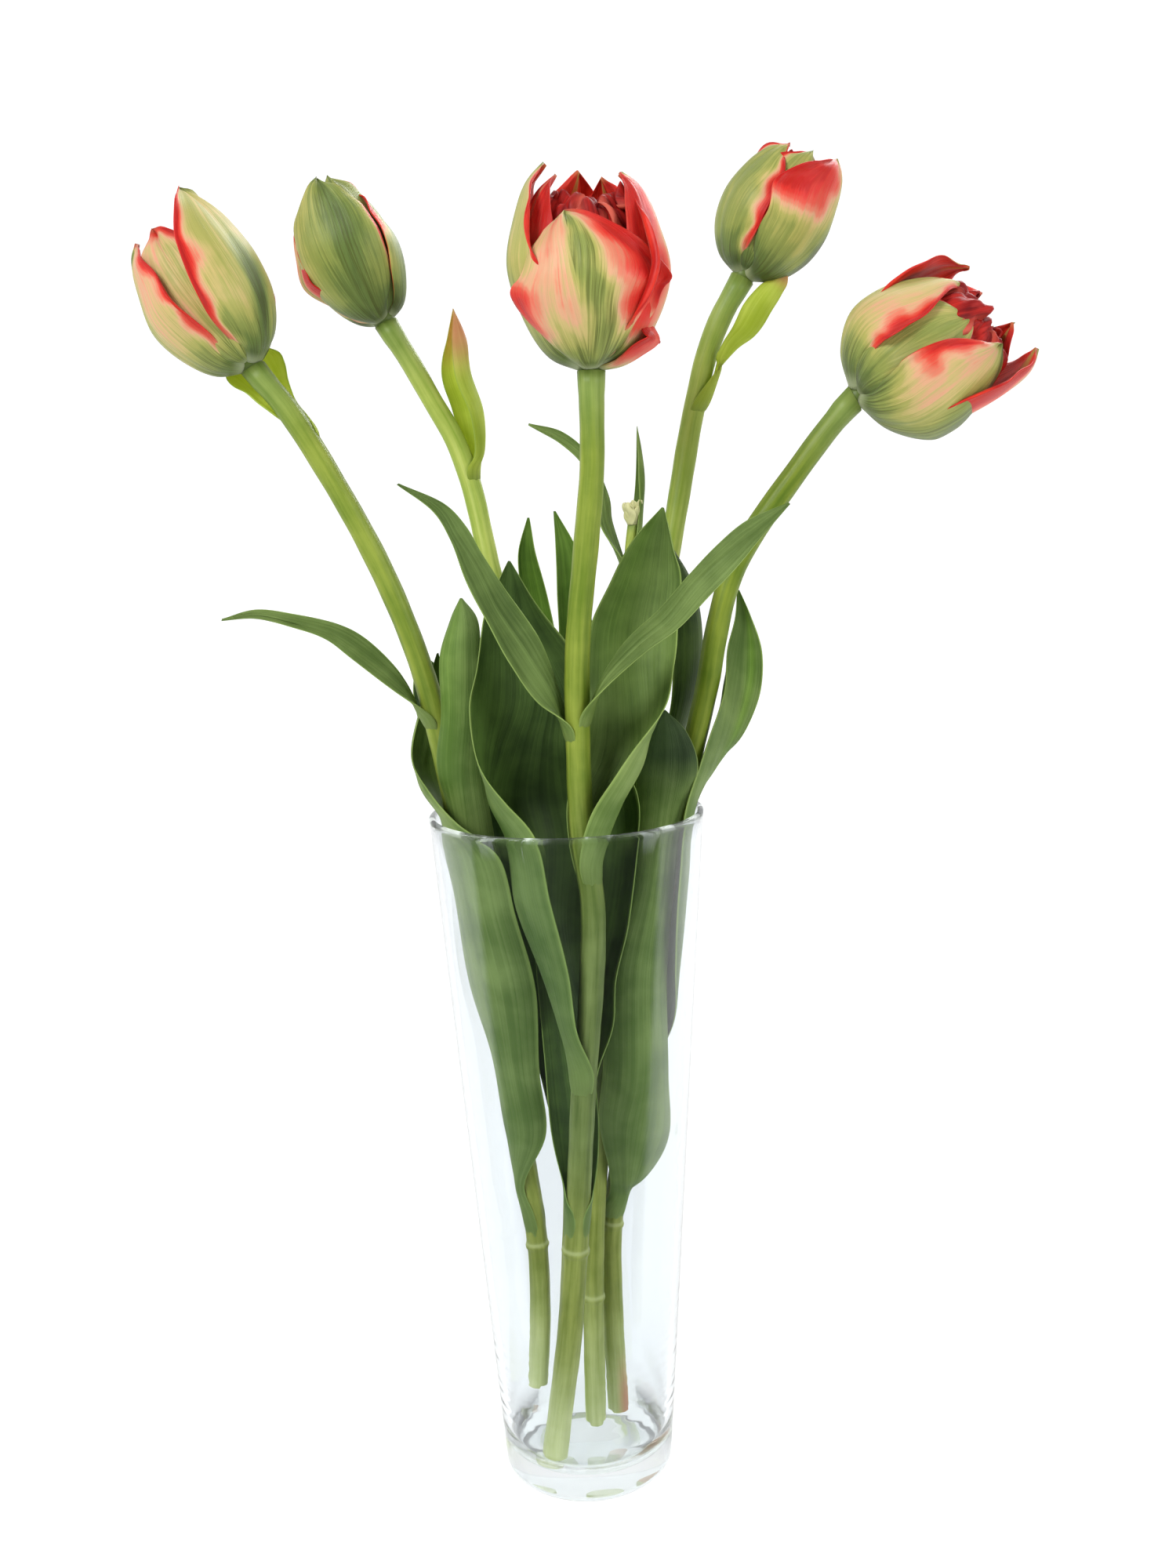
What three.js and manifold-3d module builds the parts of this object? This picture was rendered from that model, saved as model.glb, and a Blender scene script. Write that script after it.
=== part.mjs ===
// Five cut double tulips standing in a tall, clear glass vase.
//
// Millimetres, +Z up. The origin is the centre of the vase's foot, on the surface it stands on.
// +X is to the right and +Y is away from the viewer. Turns are in degrees, from +X towards +Y.
//
// Stems are tubes along a curve, leaves and bracts are thin blades through a few stations, and each
// bloom is a set of petals fused on its receptacle, with a separate red heart of inner petals.

import * as THREE from "three";
import { mergeVertices } from "three/addons/utils/BufferGeometryUtils.js";
import Module from "manifold-3d";

const wasm = await Module();
wasm.setup();

// ---------- driving dimensions ----------

const VASE = { height: 250, rimRadius: 48, footRadius: 31, rimWall: 2, lowWall: 3, floor: 10, sides: 32 };
const GAP = 0.35; // air left between two pieces that touch
const BLADE = 0.9; // thickness of a leaf
const BLADE_COLUMNS = 6;
const PETAL = 1.0; // thickness of a petal
const STEM_SIDES = 8;
const SHEATH_GAP = 0.6; // and between a stem and the leaf that clasps it
const NODE_SWELL = 0.6; // how far a leaf scar stands out of its stem
const NODE_HALF_LENGTH = 1.6;
const CLOSEST_RINGS = 0.5; // stem rings nearer than this are one

// ---------- colours ----------

const finish = (color, roughness) => new THREE.MeshStandardMaterial({ color, roughness, metalness: 0 });
const GLASS = new THREE.MeshStandardMaterial({
  color: 0xe6f0ec, roughness: 0.05, metalness: 0, transparent: true, opacity: 0.3,
});
const STEM_GREEN = finish(0x7f9c3f, 0.5);
const LEAF_GREEN = finish(0x4d7a45, 0.55);
const PALE_LEAF_GREEN = finish(0x83a665, 0.55);
const PETAL_GREEN = finish(0xb5a56a, 0.5);
const HEART_RED = finish(0xc23228, 0.5);
const BUD_YELLOW = finish(0xd9d79b, 0.6);

// ---------- small tools ----------

const point = ([x, y, z]) => new THREE.Vector3(x, y, z);
const radians = THREE.MathUtils.degToRad;
const UP = new THREE.Vector3(0, 0, 1);
const curveThrough = (points) => new THREE.CatmullRomCurve3(points, false, "centripetal");

function closedGeometry(vertices, triangles) {
  const geometry = new THREE.BufferGeometry();
  const places = vertices.flatMap((vertex) => [vertex.x, vertex.y, vertex.z]);
  geometry.setAttribute("position", new THREE.Float32BufferAttribute(places, 3));
  geometry.setIndex(triangles.flat());
  return geometry;
}

// Gives a closed geometry its triangles turned so that all of them face out.
function facingOut(geometry) {
  const place = geometry.getAttribute("position");
  const index = geometry.getIndex().array;
  const corners = [new THREE.Vector3(), new THREE.Vector3(), new THREE.Vector3()];
  let volume = 0;
  for (let i = 0; i < index.length; i += 3) {
    corners.forEach((corner, k) => corner.fromBufferAttribute(place, index[i + k]));
    volume += corners[0].dot(corners[1].clone().cross(corners[2]));
  }
  if (volume > 0) return geometry;
  const turned = [];
  for (let i = 0; i < index.length; i += 3) {
    turned.push(index[i], index[i + 2], index[i + 1]);
  }
  geometry.setIndex(turned);
  return geometry;
}

function toSolid(geometry) {
  const bare = geometry.clone();
  bare.deleteAttribute("normal");
  bare.deleteAttribute("uv");
  const merged = mergeVertices(bare, 1e-4);
  const mesh = new wasm.Mesh({
    numProp: 3,
    vertProperties: Float32Array.from(merged.getAttribute("position").array),
    triVerts: Uint32Array.from(merged.getIndex().array),
  });
  return new wasm.Manifold(mesh);
}

function toGeometry(solid) {
  const mesh = solid.getMesh();
  const geometry = new THREE.BufferGeometry();
  geometry.setAttribute("position", new THREE.Float32BufferAttribute(mesh.vertProperties, 3));
  geometry.setIndex(Array.from(mesh.triVerts));
  return geometry;
}

// Keeps the largest body: loose scraps and sealed hollows are bodies of their own, and drop out.
function wholeBody(solid) {
  const bodies = solid.decompose();
  return bodies.reduce((largest, body) => (body.volume() > largest.volume() ? body : largest));
}

const fuse = (geometries) => wholeBody(geometries.map(toSolid).reduce((sum, next) => sum.add(next)));

// A closed skin over rings of equal point count, with a fan over each end.
function loft(rings) {
  const sides = rings[0].length;
  const vertices = rings.flat();
  const triangles = [];
  for (let i = 0; i + 1 < rings.length; i += 1) {
    for (let j = 0; j < sides; j += 1) {
      const a = i * sides + j;
      const b = i * sides + ((j + 1) % sides);
      triangles.push([a, b, b + sides], [a, b + sides, a + sides]);
    }
  }
  const last = (rings.length - 1) * sides;
  for (let j = 1; j + 1 < sides; j += 1) {
    triangles.push([0, j + 1, j], [last, last + j, last + j + 1]);
  }
  return facingOut(closedGeometry(vertices, triangles));
}

// A thin closed blade over a grid of points, the same thickness on both sides of the grid. Both
// faces are split along the same diagonals, so a waved blade never crosses itself.
function blade(grid, thickness) {
  const rows = grid.length;
  const columns = grid[0].length;
  const step = (list, i) => [list[Math.max(i - 1, 0)], list[Math.min(i + 1, list.length - 1)]];
  const faces = [[], []];
  for (let i = 0; i < rows; i += 1) {
    for (let j = 0; j < columns; j += 1) {
      const [rowBefore, rowAfter] = step(grid, i);
      const [before, after] = step(grid[i], j);
      const along = rowAfter[j].clone().sub(rowBefore[j]);
      const across = after.clone().sub(before);
      const offset = along.cross(across).setLength(thickness / 2);
      faces[0].push(grid[i][j].clone().add(offset));
      faces[1].push(grid[i][j].clone().sub(offset));
    }
  }
  const half = rows * columns;
  const triangles = [];
  const at = (i, j) => i * columns + j;
  for (let i = 0; i + 1 < rows; i += 1) {
    for (let j = 0; j + 1 < columns; j += 1) {
      const [a, b, c, d] = [at(i, j), at(i, j + 1), at(i + 1, j + 1), at(i + 1, j)];
      triangles.push([a, b, c], [a, c, d], [half + a, half + c, half + b], [half + a, half + d, half + c]);
    }
  }
  const edge = [];
  for (let j = 0; j < columns; j += 1) edge.push(at(0, j));
  for (let i = 1; i < rows; i += 1) edge.push(at(i, columns - 1));
  for (let j = columns - 2; j >= 0; j -= 1) edge.push(at(rows - 1, j));
  for (let i = rows - 2; i >= 1; i -= 1) edge.push(at(i, 0));
  edge.forEach((a, k) => {
    const b = edge[(k + 1) % edge.length];
    triangles.push([a, half + b, b], [a, half + a, half + b]);
  });
  return facingOut(closedGeometry([...faces[0], ...faces[1]], triangles));
}

// ---------- vase ----------

// Outer and inner walls are straight tapers. The foot is rounded, the floor is thick, and the rim
// is a fire-polished bead.
function vaseGeometry() {
  const { height, rimRadius, footRadius, rimWall, lowWall, floor } = VASE;
  const outside = (z) => footRadius + ((rimRadius - footRadius) * z) / height;
  const inside = (z) => outside(z) - lowWall + ((lowWall - rimWall) * z) / height;
  const profile = [
    [0, 0], [footRadius - 4.5, 0], [footRadius - 1.6, 0.9], [outside(4), 4],
    [outside(height - 2), height - 2], [rimRadius - 0.3, height - 0.4], [rimRadius - 1, height],
    [rimRadius - 1.7, height - 0.4], [inside(height - 2), height - 2], [inside(floor + 8), floor + 8],
    [inside(floor + 3) - 1.5, floor + 3], [inside(floor) - 4.5, floor], [0, floor],
  ];
  return new THREE.LatheGeometry(profile.map(([r, z]) => new THREE.Vector2(r, z)), VASE.sides)
    .rotateX(Math.PI / 2);
}

// ---------- stems ----------

// Each path runs from the cut end, on the vase's floor, to the bloom. Scars are the heights at
// which a leaf's sheath starts.
const STEMS = {
  stem_1: {
    radius: [4.1, 4.0], scars: [78], sections: 15,
    path: [[-20, 14, 22], [-18, 15, 50], [-18, 17, 77], [-22, 15, 120], [-29, 9, 180], [-37.6, 3.5, 240],
      [-39.4, 2.5, 252], [-43, 2, 274], [-47.5, 4, 296], [-54.5, 6, 318], [-64, 8, 341], [-77, 8, 367],
      [-90, 8, 389.5], [-100.5, 8, 403]],
  },
  stem_2: {
    radius: [3.9, 3.7], scars: [], sections: 14,
    path: [[-11, 9, 10.4], [-4.5, 10, 76], [-3, 11, 110], [-5, 13, 150], [-10, 17, 200], [-15, 20, 256],
      [-17, 24, 284], [-21, 28, 312], [-26, 33, 335], [-32, 40, 364], [-37.5, 43, 380], [-45, 44, 394],
      [-52.5, 45, 408], [-60, 45, 420.5]],
  },
  stem_3: {
    radius: [4.5, 4.0], scars: [94], sections: 14,
    path: [[-12, -17, 11.2], [-9, -17, 32], [-5, -18, 60], [-2.3, -19, 87], [0, -20, 114], [3.5, -21, 158],
      [7, -22, 191], [8.5, -23, 222], [6, -24, 246], [5.5, -24, 275], [6.5, -24, 309], [10.5, -25, 343],
      [13, -26, 365], [15, -26, 395]],
  },
  stem_4: {
    radius: [4.0, 3.9], scars: [62], sections: 14,
    path: [[2.6, 7, 10.4], [3.5, 6, 66], [4.5, 6.5, 88], [8, 9, 130], [13, 14, 180], [21, 21, 246],
      [27, 25, 283], [35, 30, 316], [42.5, 36, 352], [49, 42, 384], [55, 45, 407], [60.5, 45, 420],
      [67.5, 45, 431.5]],
  },
  stem_5: {
    radius: [4.1, 4.0], scars: [87], sections: 15,
    path: [[11.6, 15, 10.4], [10.4, 15, 64], [11.5, 15, 88], [17, 12.5, 120], [24, 9, 160], [30.5, 5, 200],
      [39.8, 0.5, 250], [44.5, 0, 269], [50.5, 2, 293], [53.6, 3, 309], [58.5, 4, 327], [65.5, 4, 341],
      [81.5, 3, 363], [91.5, 2, 376], [100, 0, 386]],
  },
  side_shoot: {
    radius: [1.7, 2.0], scars: [], sections: 5,
    path: [[24.2, 28.8, 296], [20.5, 31, 318], [21, 33, 336], [23, 34, 346]],
  },
};

for (const stem of Object.values(STEMS)) {
  stem.curve = curveThrough(stem.path.map(point));
}

function stemRadius(stem, height) {
  const [low, high] = stem.radius;
  const plain = THREE.MathUtils.mapLinear(height, stem.path[0][2], stem.path.at(-1)[2], low, high);
  return stem.scars.includes(height) ? plain + NODE_SWELL : plain;
}

// The point of a stem's axis at a height, found by halving: every stem rises all the way.
function stemAxisAt(stem, height) {
  let [low, high] = [0, 1];
  for (let i = 0; i < 40; i += 1) {
    const middle = (low + high) / 2;
    if (stem.curve.getPoint(middle).z < height) low = middle;
    else high = middle;
  }
  return { place: stem.curve.getPoint(low), turn: stem.curve.getTangent(low) };
}

function ringAround(centre, direction, radius, sides) {
  const side = new THREE.Vector3(0, 1, 0).cross(direction).normalize();
  const front = direction.clone().cross(side);
  return Array.from({ length: sides }, (_, k) => {
    const turn = (2 * Math.PI * k) / sides;
    return centre.clone()
      .addScaledVector(side, radius * Math.cos(turn))
      .addScaledVector(front, radius * Math.sin(turn));
  });
}

// The cut end is level, so that it stands flat, and the top is square to the bloom.
function stemGeometry(stem, topDirection) {
  const [first, last] = [stem.path[0][2], stem.path.at(-1)[2]];
  const heights = [];
  for (let i = 0; i <= stem.sections; i += 1) {
    heights.push(THREE.MathUtils.lerp(first, last, i / stem.sections));
  }
  for (const scar of stem.scars) {
    heights.push(scar - NODE_HALF_LENGTH, scar, scar + NODE_HALF_LENGTH);
  }
  heights.sort((a, b) => a - b);
  const kept = heights.filter((height, i) => i === 0 || height - heights[i - 1] > CLOSEST_RINGS);
  return loft(kept.map((height, i) => {
    const { place, turn } = stemAxisAt(stem, height);
    const direction = i === 0 ? UP : i === kept.length - 1 ? topDirection ?? turn : turn;
    return ringAround(place, direction, stemRadius(stem, height), STEM_SIDES);
  }));
}

// ---------- leaves ----------

// The point at v, from -1 at the left margin through 0 at the middle to 1 at the right margin, of
// the circle through the three points.
function arcPoint(left, middle, right, v) {
  const a = left.clone().sub(middle);
  const b = right.clone().sub(middle);
  const normal = a.clone().cross(b);
  const area = normal.lengthSq();
  if (area < 1e-3 * a.lengthSq() * b.lengthSq()) {
    const bend = a.clone().add(b).multiplyScalar(0.5 * v * v);
    return middle.clone().addScaledVector(b.clone().sub(a), v / 2).add(bend);
  }
  const towards = b.clone().multiplyScalar(a.lengthSq()).sub(a.clone().multiplyScalar(b.lengthSq()));
  const centre = middle.clone().add(towards.cross(normal).divideScalar(2 * area));
  const start = middle.clone().sub(centre);
  const end = (v < 0 ? left : right).clone().sub(centre);
  const axis = start.clone().cross(end).normalize();
  return start.applyAxisAngle(axis, start.angleTo(end) * Math.abs(v)).add(centre);
}

// Sheath rows are [height, azimuth of the middle, half wrap]: the leaf clasps its stem there. A
// negative wrap puts the left margin clockwise of the middle. Rows are free stations above, each
// [left margin, middle, right margin] as [x, y, z]. The last station is the tip.
const LEAVES = {
  leaf_1_low: {
    stem: "stem_1", sheath: [[80, 150, 150], [92, 150, 130], [104, 160, 95]], steps: 12,
    rows: [
      [[-12, 4, 128], [-28, 11, 128], [-19, 24, 128]],
      [[-13, -3, 155], [-31, 8, 156], [-22, 25, 156]],
      [[-13, -10, 190], [-37, 1, 187], [-28, 24, 187]],
      [[-18, -18, 217], [-40.3, -3, 220], [-33, 21, 220]],
      [[-23, -22, 240], [-42.6, -7, 240], [-37, 18, 240]],
      [[-36, -20, 250], [-44.3, 0, 250], [-38, 18, 250]],
      [[-47, -8, 260], [-51, 7, 263], [-40, 17, 268]],
      [[-54, 3, 269], [-49, 14, 277], [-39, 16, 280]],
      [[-50, 11, 287], [-46, 15, 292], [-41, 14, 292]],
      [[-44, 13, 305]],
    ],
  },
  leaf_1_mid: {
    stem: "stem_1", sheath: [[178, -60, -80], [188, -60, -70]], steps: 9, columns: 4,
    rows: [
      [[-36.5, -1, 206], [-31, -4, 206], [-25, 2, 206]],
      [[-39.5, -3, 231], [-33, -6, 232], [-25, -3, 231]],
      [[-40.5, -3.5, 250], [-34, -8, 248], [-26, -5, 247]],
      [[-44, -4, 267], [-35, -9, 266], [-28, -6, 265]],
      [[-42, -4, 285], [-33, -9, 286], [-27, -6, 284]],
      [[-41, -2, 306], [-32, -8, 305], [-27, -5, 306]],
      [[-37, -2, 318], [-32, -6, 318], [-28, -4, 318]],
      [[-33, -4, 325]],
    ],
  },
  leaf_1_top: {
    stem: "stem_1", sheath: [[279, 205, 75], [284, 212, 60]], steps: 8, columns: 4, pale: true,
    rows: [
      [[-57, -6, 294], [-56, -4, 297], [-55, -4, 300]],
      [[-70, -11, 306], [-68, -9, 309], [-66, -8, 313]],
      [[-78, -13, 313], [-76, -12, 315], [-74, -11, 318]],
      [[-88, -15, 317.5], [-88, -14, 319], [-88, -14, 322]],
      [[-101, -16, 321], [-101, -16, 322.5], [-100, -16, 324]],
      [[-112, -16, 321]],
    ],
  },
  leaf_2_low: {
    stem: "stem_2", sheath: [[112, 120, 130], [121, 125, 105]], steps: 9,
    rows: [
      [[-15, 19, 150], [-11, 26, 150], [-4, 24, 150]],
      [[-24, 26, 190], [-16, 32, 190], [-3, 31, 190]],
      [[-33, 24, 225], [-25, 33, 225], [-8, 38, 225]],
      [[-37, 23, 250], [-28.5, 33, 250], [-12, 40, 250]],
      [[-50, 24, 272], [-42, 34, 275], [-28, 42, 275]],
      [[-55, 25, 288], [-49, 34, 292], [-41, 40, 292]],
      [[-53, 32, 304]],
    ],
  },
  leaf_2_mid: {
    stem: "stem_2", sheath: [[206, 60, 80], [216, 60, 70]], steps: 8, columns: 4,
    rows: [
      [[-16, 28, 238], [-6, 30, 238], [-2, 22, 238]],
      [[-17, 31, 268], [-7, 34, 268], [-2, 27, 268]],
      [[-17, 32, 300], [-8, 36, 300], [-2, 30, 300]],
      [[-15, 32, 321], [-10, 35, 321], [-5, 31, 321]],
      [[-15, 31, 339], [-12, 33, 339], [-9, 31, 339]],
      [[-11, 31, 351]],
    ],
  },
  bract_2: {
    stem: "stem_2", sheath: [[364, -20, 80], [369, -10, 70]], steps: 9, columns: 4,
    rows: [
      [[-35, 50, 378], [-27, 45, 376], [-30, 39, 374]],
      [[-39, 53, 392], [-27, 48, 390], [-31, 41, 388]],
      [[-42, 52, 405], [-31, 49, 404], [-36, 43, 402]],
      [[-39, 50, 416], [-32, 49, 415], [-37, 46, 414]],
      [[-36, 47, 426]],
    ],
  },
  leaf_3_low: {
    stem: "stem_3", sheath: [[96, 100, 165], [109, 100, 160], [114, 100, 122], [119, 100, 88]], steps: 9,
    rows: [
      [[-9, -14, 138], [0, -10, 138], [8, -13, 136]],
      [[-11, -7, 165], [-3, -4, 165], [6, -6, 165]],
      [[-13, 3, 200], [-5, 6, 200], [4, 3, 200]],
      [[-10, 10, 225], [-5, 12, 225], [1, 10, 225]],
      [[-5, 13, 245]],
    ],
  },
  leaf_3_big: {
    stem: "stem_3", sheath: [[152, 165, 150], [162, 165, 140]], steps: 12,
    rows: [
      [[2, -29, 178], [-4, -17, 178], [14, -17, 176]],
      [[0, -31, 199], [-10, -16, 197], [15.5, -14, 192]],
      [[-5, -33, 225], [-18, -15, 220], [21, -15, 214]],
      [[-9, -34, 246], [-20, -14, 242], [25, -15, 242]],
      [[-19, -33, 259], [-25, -11, 257], [24, -13, 257]],
      [[-27, -30, 273], [-21, -7, 273], [18, -8, 273]],
      [[-30, -24, 289], [-15, -4, 289], [14, -6, 291]],
      [[-28, -19, 301], [-15, -3, 302], [5, -5, 305]],
      [[-25, -13, 318], [-17, -4, 317], [-4, -6, 317]],
      [[-21, -9, 328], [-16, -5, 328], [-10, -7, 327]],
      [[-16, -6, 337]],
    ],
  },
  leaf_3_side: {
    stem: "stem_3", sheath: [[228, 20, 145], [237, 20, 135]], steps: 10,
    rows: [
      [[1, -20, 255], [17, -18, 256], [9, -33, 254]],
      [[5, -15, 270], [26, -17, 271], [19, -34, 269]],
      [[8, -13, 287], [27, -13, 286], [34, -26, 288]],
      [[9, -12, 301], [26, -10, 301], [38, -20, 301]],
      [[11, -12, 315], [26, -8, 313], [40, -17, 314]],
      [[18, -12, 330], [30, -7, 330], [41, -14, 330]],
      [[27, -11, 344], [33, -8, 345], [39, -12, 340]],
      [[36, -10, 353]],
    ],
  },
  leaf_3_left: {
    stem: "stem_3", sheath: [[277, 190, 72], [283, 185, 65]], steps: 9, columns: 4,
    rows: [
      [[-7, -31, 292], [-3, -26, 294], [-1, -21, 297]],
      [[-15, -34, 305], [-10, -28, 308], [-6, -28, 313]],
      [[-22, -36, 319], [-19, -32, 323], [-16, -31, 329]],
      [[-28, -38, 333], [-25, -35, 337], [-23, -34, 341]],
      [[-32, -38, 345], [-30, -37, 346], [-27, -36, 349]],
      [[-37, -38, 354], [-35, -37, 355], [-33, -37, 356]],
      [[-48, -36, 363]],
    ],
  },
  leaf_3_right: {
    stem: "stem_3", sheath: [[282, -18, 66], [287, -15, 60]], steps: 9, columns: 4, pale: true,
    rows: [
      [[14, -28, 299], [15, -32, 298], [16, -34, 297]],
      [[23, -33, 312], [26, -35, 310], [29, -36, 308]],
      [[33, -35, 321], [36, -37, 318], [39, -38, 315]],
      [[43, -37, 332], [45, -38, 329], [49, -39, 325]],
      [[52, -37, 341], [55, -38, 338], [58, -39, 334]],
      [[61, -37, 348], [64, -37, 345], [66, -37, 343]],
      [[75, -34, 353]],
    ],
  },
  leaf_4_low: {
    stem: "stem_4", sheath: [[64, 100, 100], [72, 102, 80], [80, 100, 45]], steps: 10,
    rows: [
      [[1.4, 13.2, 96], [3, 14.2, 96], [4.8, 14.6, 96]],
      [[0, 18.5, 122], [5, 21, 122], [10, 19, 122]],
      [[-2, 23, 145], [6, 28, 145], [16, 24, 145]],
      [[2, 27, 190], [12, 34, 190], [24, 28, 190]],
      [[4, 32, 225], [13, 38, 225], [24, 33, 225]],
      [[7, 37, 250], [15, 41, 250], [23, 37, 250]],
      [[15, 45, 275]],
    ],
  },
  leaf_4_mid: {
    stem: "stem_4", sheath: [[203, 150, 80], [213, 150, 70]], steps: 8, columns: 4,
    rows: [
      [[3, 15, 238], [8, 25, 238], [17, 28, 238]],
      [[1, 15, 270], [5, 24, 270], [15, 26, 270]],
      [[-1, 17, 300], [4, 23, 300], [12, 23, 300]],
      [[-1, 17, 320], [3, 21, 320], [10, 20, 320]],
      [[-1, 17, 338], [2, 19, 338], [7, 18, 338]],
      [[-1, 17, 353]],
    ],
  },
  leaf_4_side: {
    stem: "stem_4", sheath: [[232, 10, 80], [242, 10, 70]], steps: 8, columns: 4, pale: true,
    rows: [
      [[34, 32, 262], [38, 24, 262], [32, 15, 262]],
      [[40, 33, 285], [47, 24, 285], [38, 14, 285]],
      [[44, 31, 308], [50, 23, 308], [39, 15, 308]],
      [[44, 27, 325], [47, 21, 325], [40, 17, 325]],
      [[40, 19, 339]],
    ],
  },
  bract_4: {
    stem: "stem_4", sheath: [[388, -60, 80], [393, -60, 70]], steps: 8, columns: 4, pale: true,
    rows: [
      [[63, 45, 403], [61, 39, 401], [54, 39, 403]],
      [[72, 44, 410], [70, 38, 409], [62, 38, 412]],
      [[81, 43, 418], [77, 37, 419], [71, 37, 421]],
      [[86, 38, 430]],
    ],
  },
  leaf_5_low: {
    stem: "stem_5", sheath: [[89, -60, -150], [95, -55, -112], [101, -50, -75]], steps: 13,
    rows: [
      [[11, 4, 111], [17, 3, 110], [25, 11, 108]],
      [[8, -1, 134], [18, -4, 133], [34, 10, 124]],
      [[10, -4, 156], [22, -8, 153], [34, 5, 150]],
      [[12, -3, 193], [24, -8, 192], [34, 0, 190]],
      [[22, -4, 222], [30, -7.5, 224], [37, -3, 224]],
      [[27, -5, 243], [33, -7.5, 245], [38, -5, 248]],
      [[28, -5, 264], [35, -8, 267], [42, -8, 267]],
      [[30, -5, 277], [36, -8, 278], [41, -8, 277]],
      [[34, -7, 286]],
    ],
  },
  leaf_5_side: {
    stem: "stem_5", sheath: [[140, 60, 115], [150, 55, 100]], steps: 11,
    rows: [
      [[22, 18, 168], [34, 12, 168], [36, 5, 168]],
      [[28, 18, 192], [38, 8, 192], [37, -5, 192]],
      [[34, 16, 225], [42, 4, 225], [38, -11, 225]],
      [[40, 14, 249], [44.9, 3, 249], [41, -10, 249]],
      [[55, 10, 265], [52, 2, 263], [47, -7, 266]],
      [[63, 10, 273], [58, 5, 276], [51, -4, 276]],
      [[69, 8, 288], [62, 9, 290], [56, -2, 291]],
      [[70, 8, 302], [63, 10, 303], [58, 6, 304]],
      [[66, 8, 315], [64, 10, 315], [61, 9, 315]],
      [[62, 9, 324]],
    ],
  },
  bract_1: {
    stem: "stem_1", sheath: [[379, 65, 80], [383, 65, 72]], steps: 7, columns: 4, pale: true,
    rows: [
      [[-98, 15, 391], [-92, 19, 393], [-86, 14, 394]],
      [[-105, 19, 396], [-97, 25, 400], [-88, 19, 402]],
      [[-104, 28, 406]],
    ],
  },
  side_leaf_up: {
    stem: "side_shoot", sheath: [[336, 0, 70], [340, 0, 65]], steps: 6, columns: 4,
    rows: [
      [[27, 40, 353], [30, 36, 353], [29, 32, 353]],
      [[28, 39, 364], [31, 36, 364], [29, 33, 364]],
      [[29, 38, 382]],
    ],
  },
  side_leaf_long: {
    stem: "side_shoot", sheath: [[328, 180, 70], [333, 180, 65]], steps: 8, columns: 4,
    rows: [
      [[15, 31, 347], [17, 34, 348], [19, 37, 349]],
      [[14, 34, 356], [16, 36, 357], [18, 38, 358]],
      [[9, 36, 369], [10, 37, 371], [11, 38, 373]],
      [[1, 37, 377], [1, 38, 379], [2, 38, 381]],
      [[-10, 38, 384]],
    ],
  },
};

const TIP_HALF_WIDTH = 0.4;

// Where the leaf is a polygon about its stem, its corners lie a little further out, so that its
// flat stretches stay clear of the stem.
function sheathStation(stem, [height, azimuth, wrap], columns) {
  const { place } = stemAxisAt(stem, height);
  const corner = Math.cos(radians(wrap / columns));
  const reach = (stemRadius(stem, height) + SHEATH_GAP + BLADE / 2) / corner;
  return [wrap, 0, -wrap].map((turn) => {
    const angle = radians(azimuth + turn);
    return place.clone().add(new THREE.Vector3(reach * Math.cos(angle), reach * Math.sin(angle), 0));
  });
}

function tipStation(tip, [left, , right]) {
  const across = right.clone().sub(left).setLength(TIP_HALF_WIDTH);
  return [tip.clone().sub(across), tip, tip.clone().add(across)];
}

function leafGeometry({ stem, sheath, rows, steps, columns = BLADE_COLUMNS }) {
  const stations = sheath.map((row) => sheathStation(STEMS[stem], row, columns));
  for (const row of rows) {
    const points = row.map(point);
    stations.push(points.length === 1 ? tipStation(points[0], stations.at(-1)) : points);
  }
  const curves = [0, 1, 2].map((side) => curveThrough(stations.map((station) => station[side])));
  const grid = [];
  for (let i = 0; i <= steps; i += 1) {
    const [left, middle, right] = curves.map((curve) => curve.getPoint(i / steps));
    const line = [];
    for (let j = 0; j <= columns; j += 1) {
      line.push(arcPoint(left, middle, right, (2 * j) / columns - 1));
    }
    grid.push(line);
  }
  return blade(grid, BLADE);
}

// ---------- blooms ----------

// A petal's midrib in the plane through the bloom's axis, as shares of the petal's reach and
// height, with its half width as a share of the full one.
const PETAL_STATIONS = [
  { out: 0.14, up: 0.0, width: 0.2 },
  { out: 0.6, up: 0.07, width: 0.62 },
  { out: 0.95, up: 0.26, width: 0.95 },
  { out: 1.0, up: 0.5, width: 1.0 },
  { out: 0.84, up: 0.76, width: 0.72 },
  { out: 0.5, up: 1.0, width: 0.03 },
];
const OUTER_PETAL = { columns: 4, steps: 5, hug: 1.12, shingle: 0.05 };
const INNER_PETAL = { columns: 3, steps: 5, hug: 1.1, shingle: 0.05 };
const HEART_PETAL = { columns: 3, steps: 4, hug: 1.15, shingle: 0.2 };
const OUTER_RISE = 1.2; // where the outer petals leave the receptacle
const INNER_RISE = 2.8; // the next whorl sits above it
const HEART_RISE = 6.5;
const HEART_TURN = 20;
const HEART_SHORT = 0.87; // every second heart petal is this much smaller
const LEAN_FROM = 0.4; // the share of the height at which a petal starts to lean out
const TIGHTEST_BEND = 1.35; // the most that half a petal turns about its midrib

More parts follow.
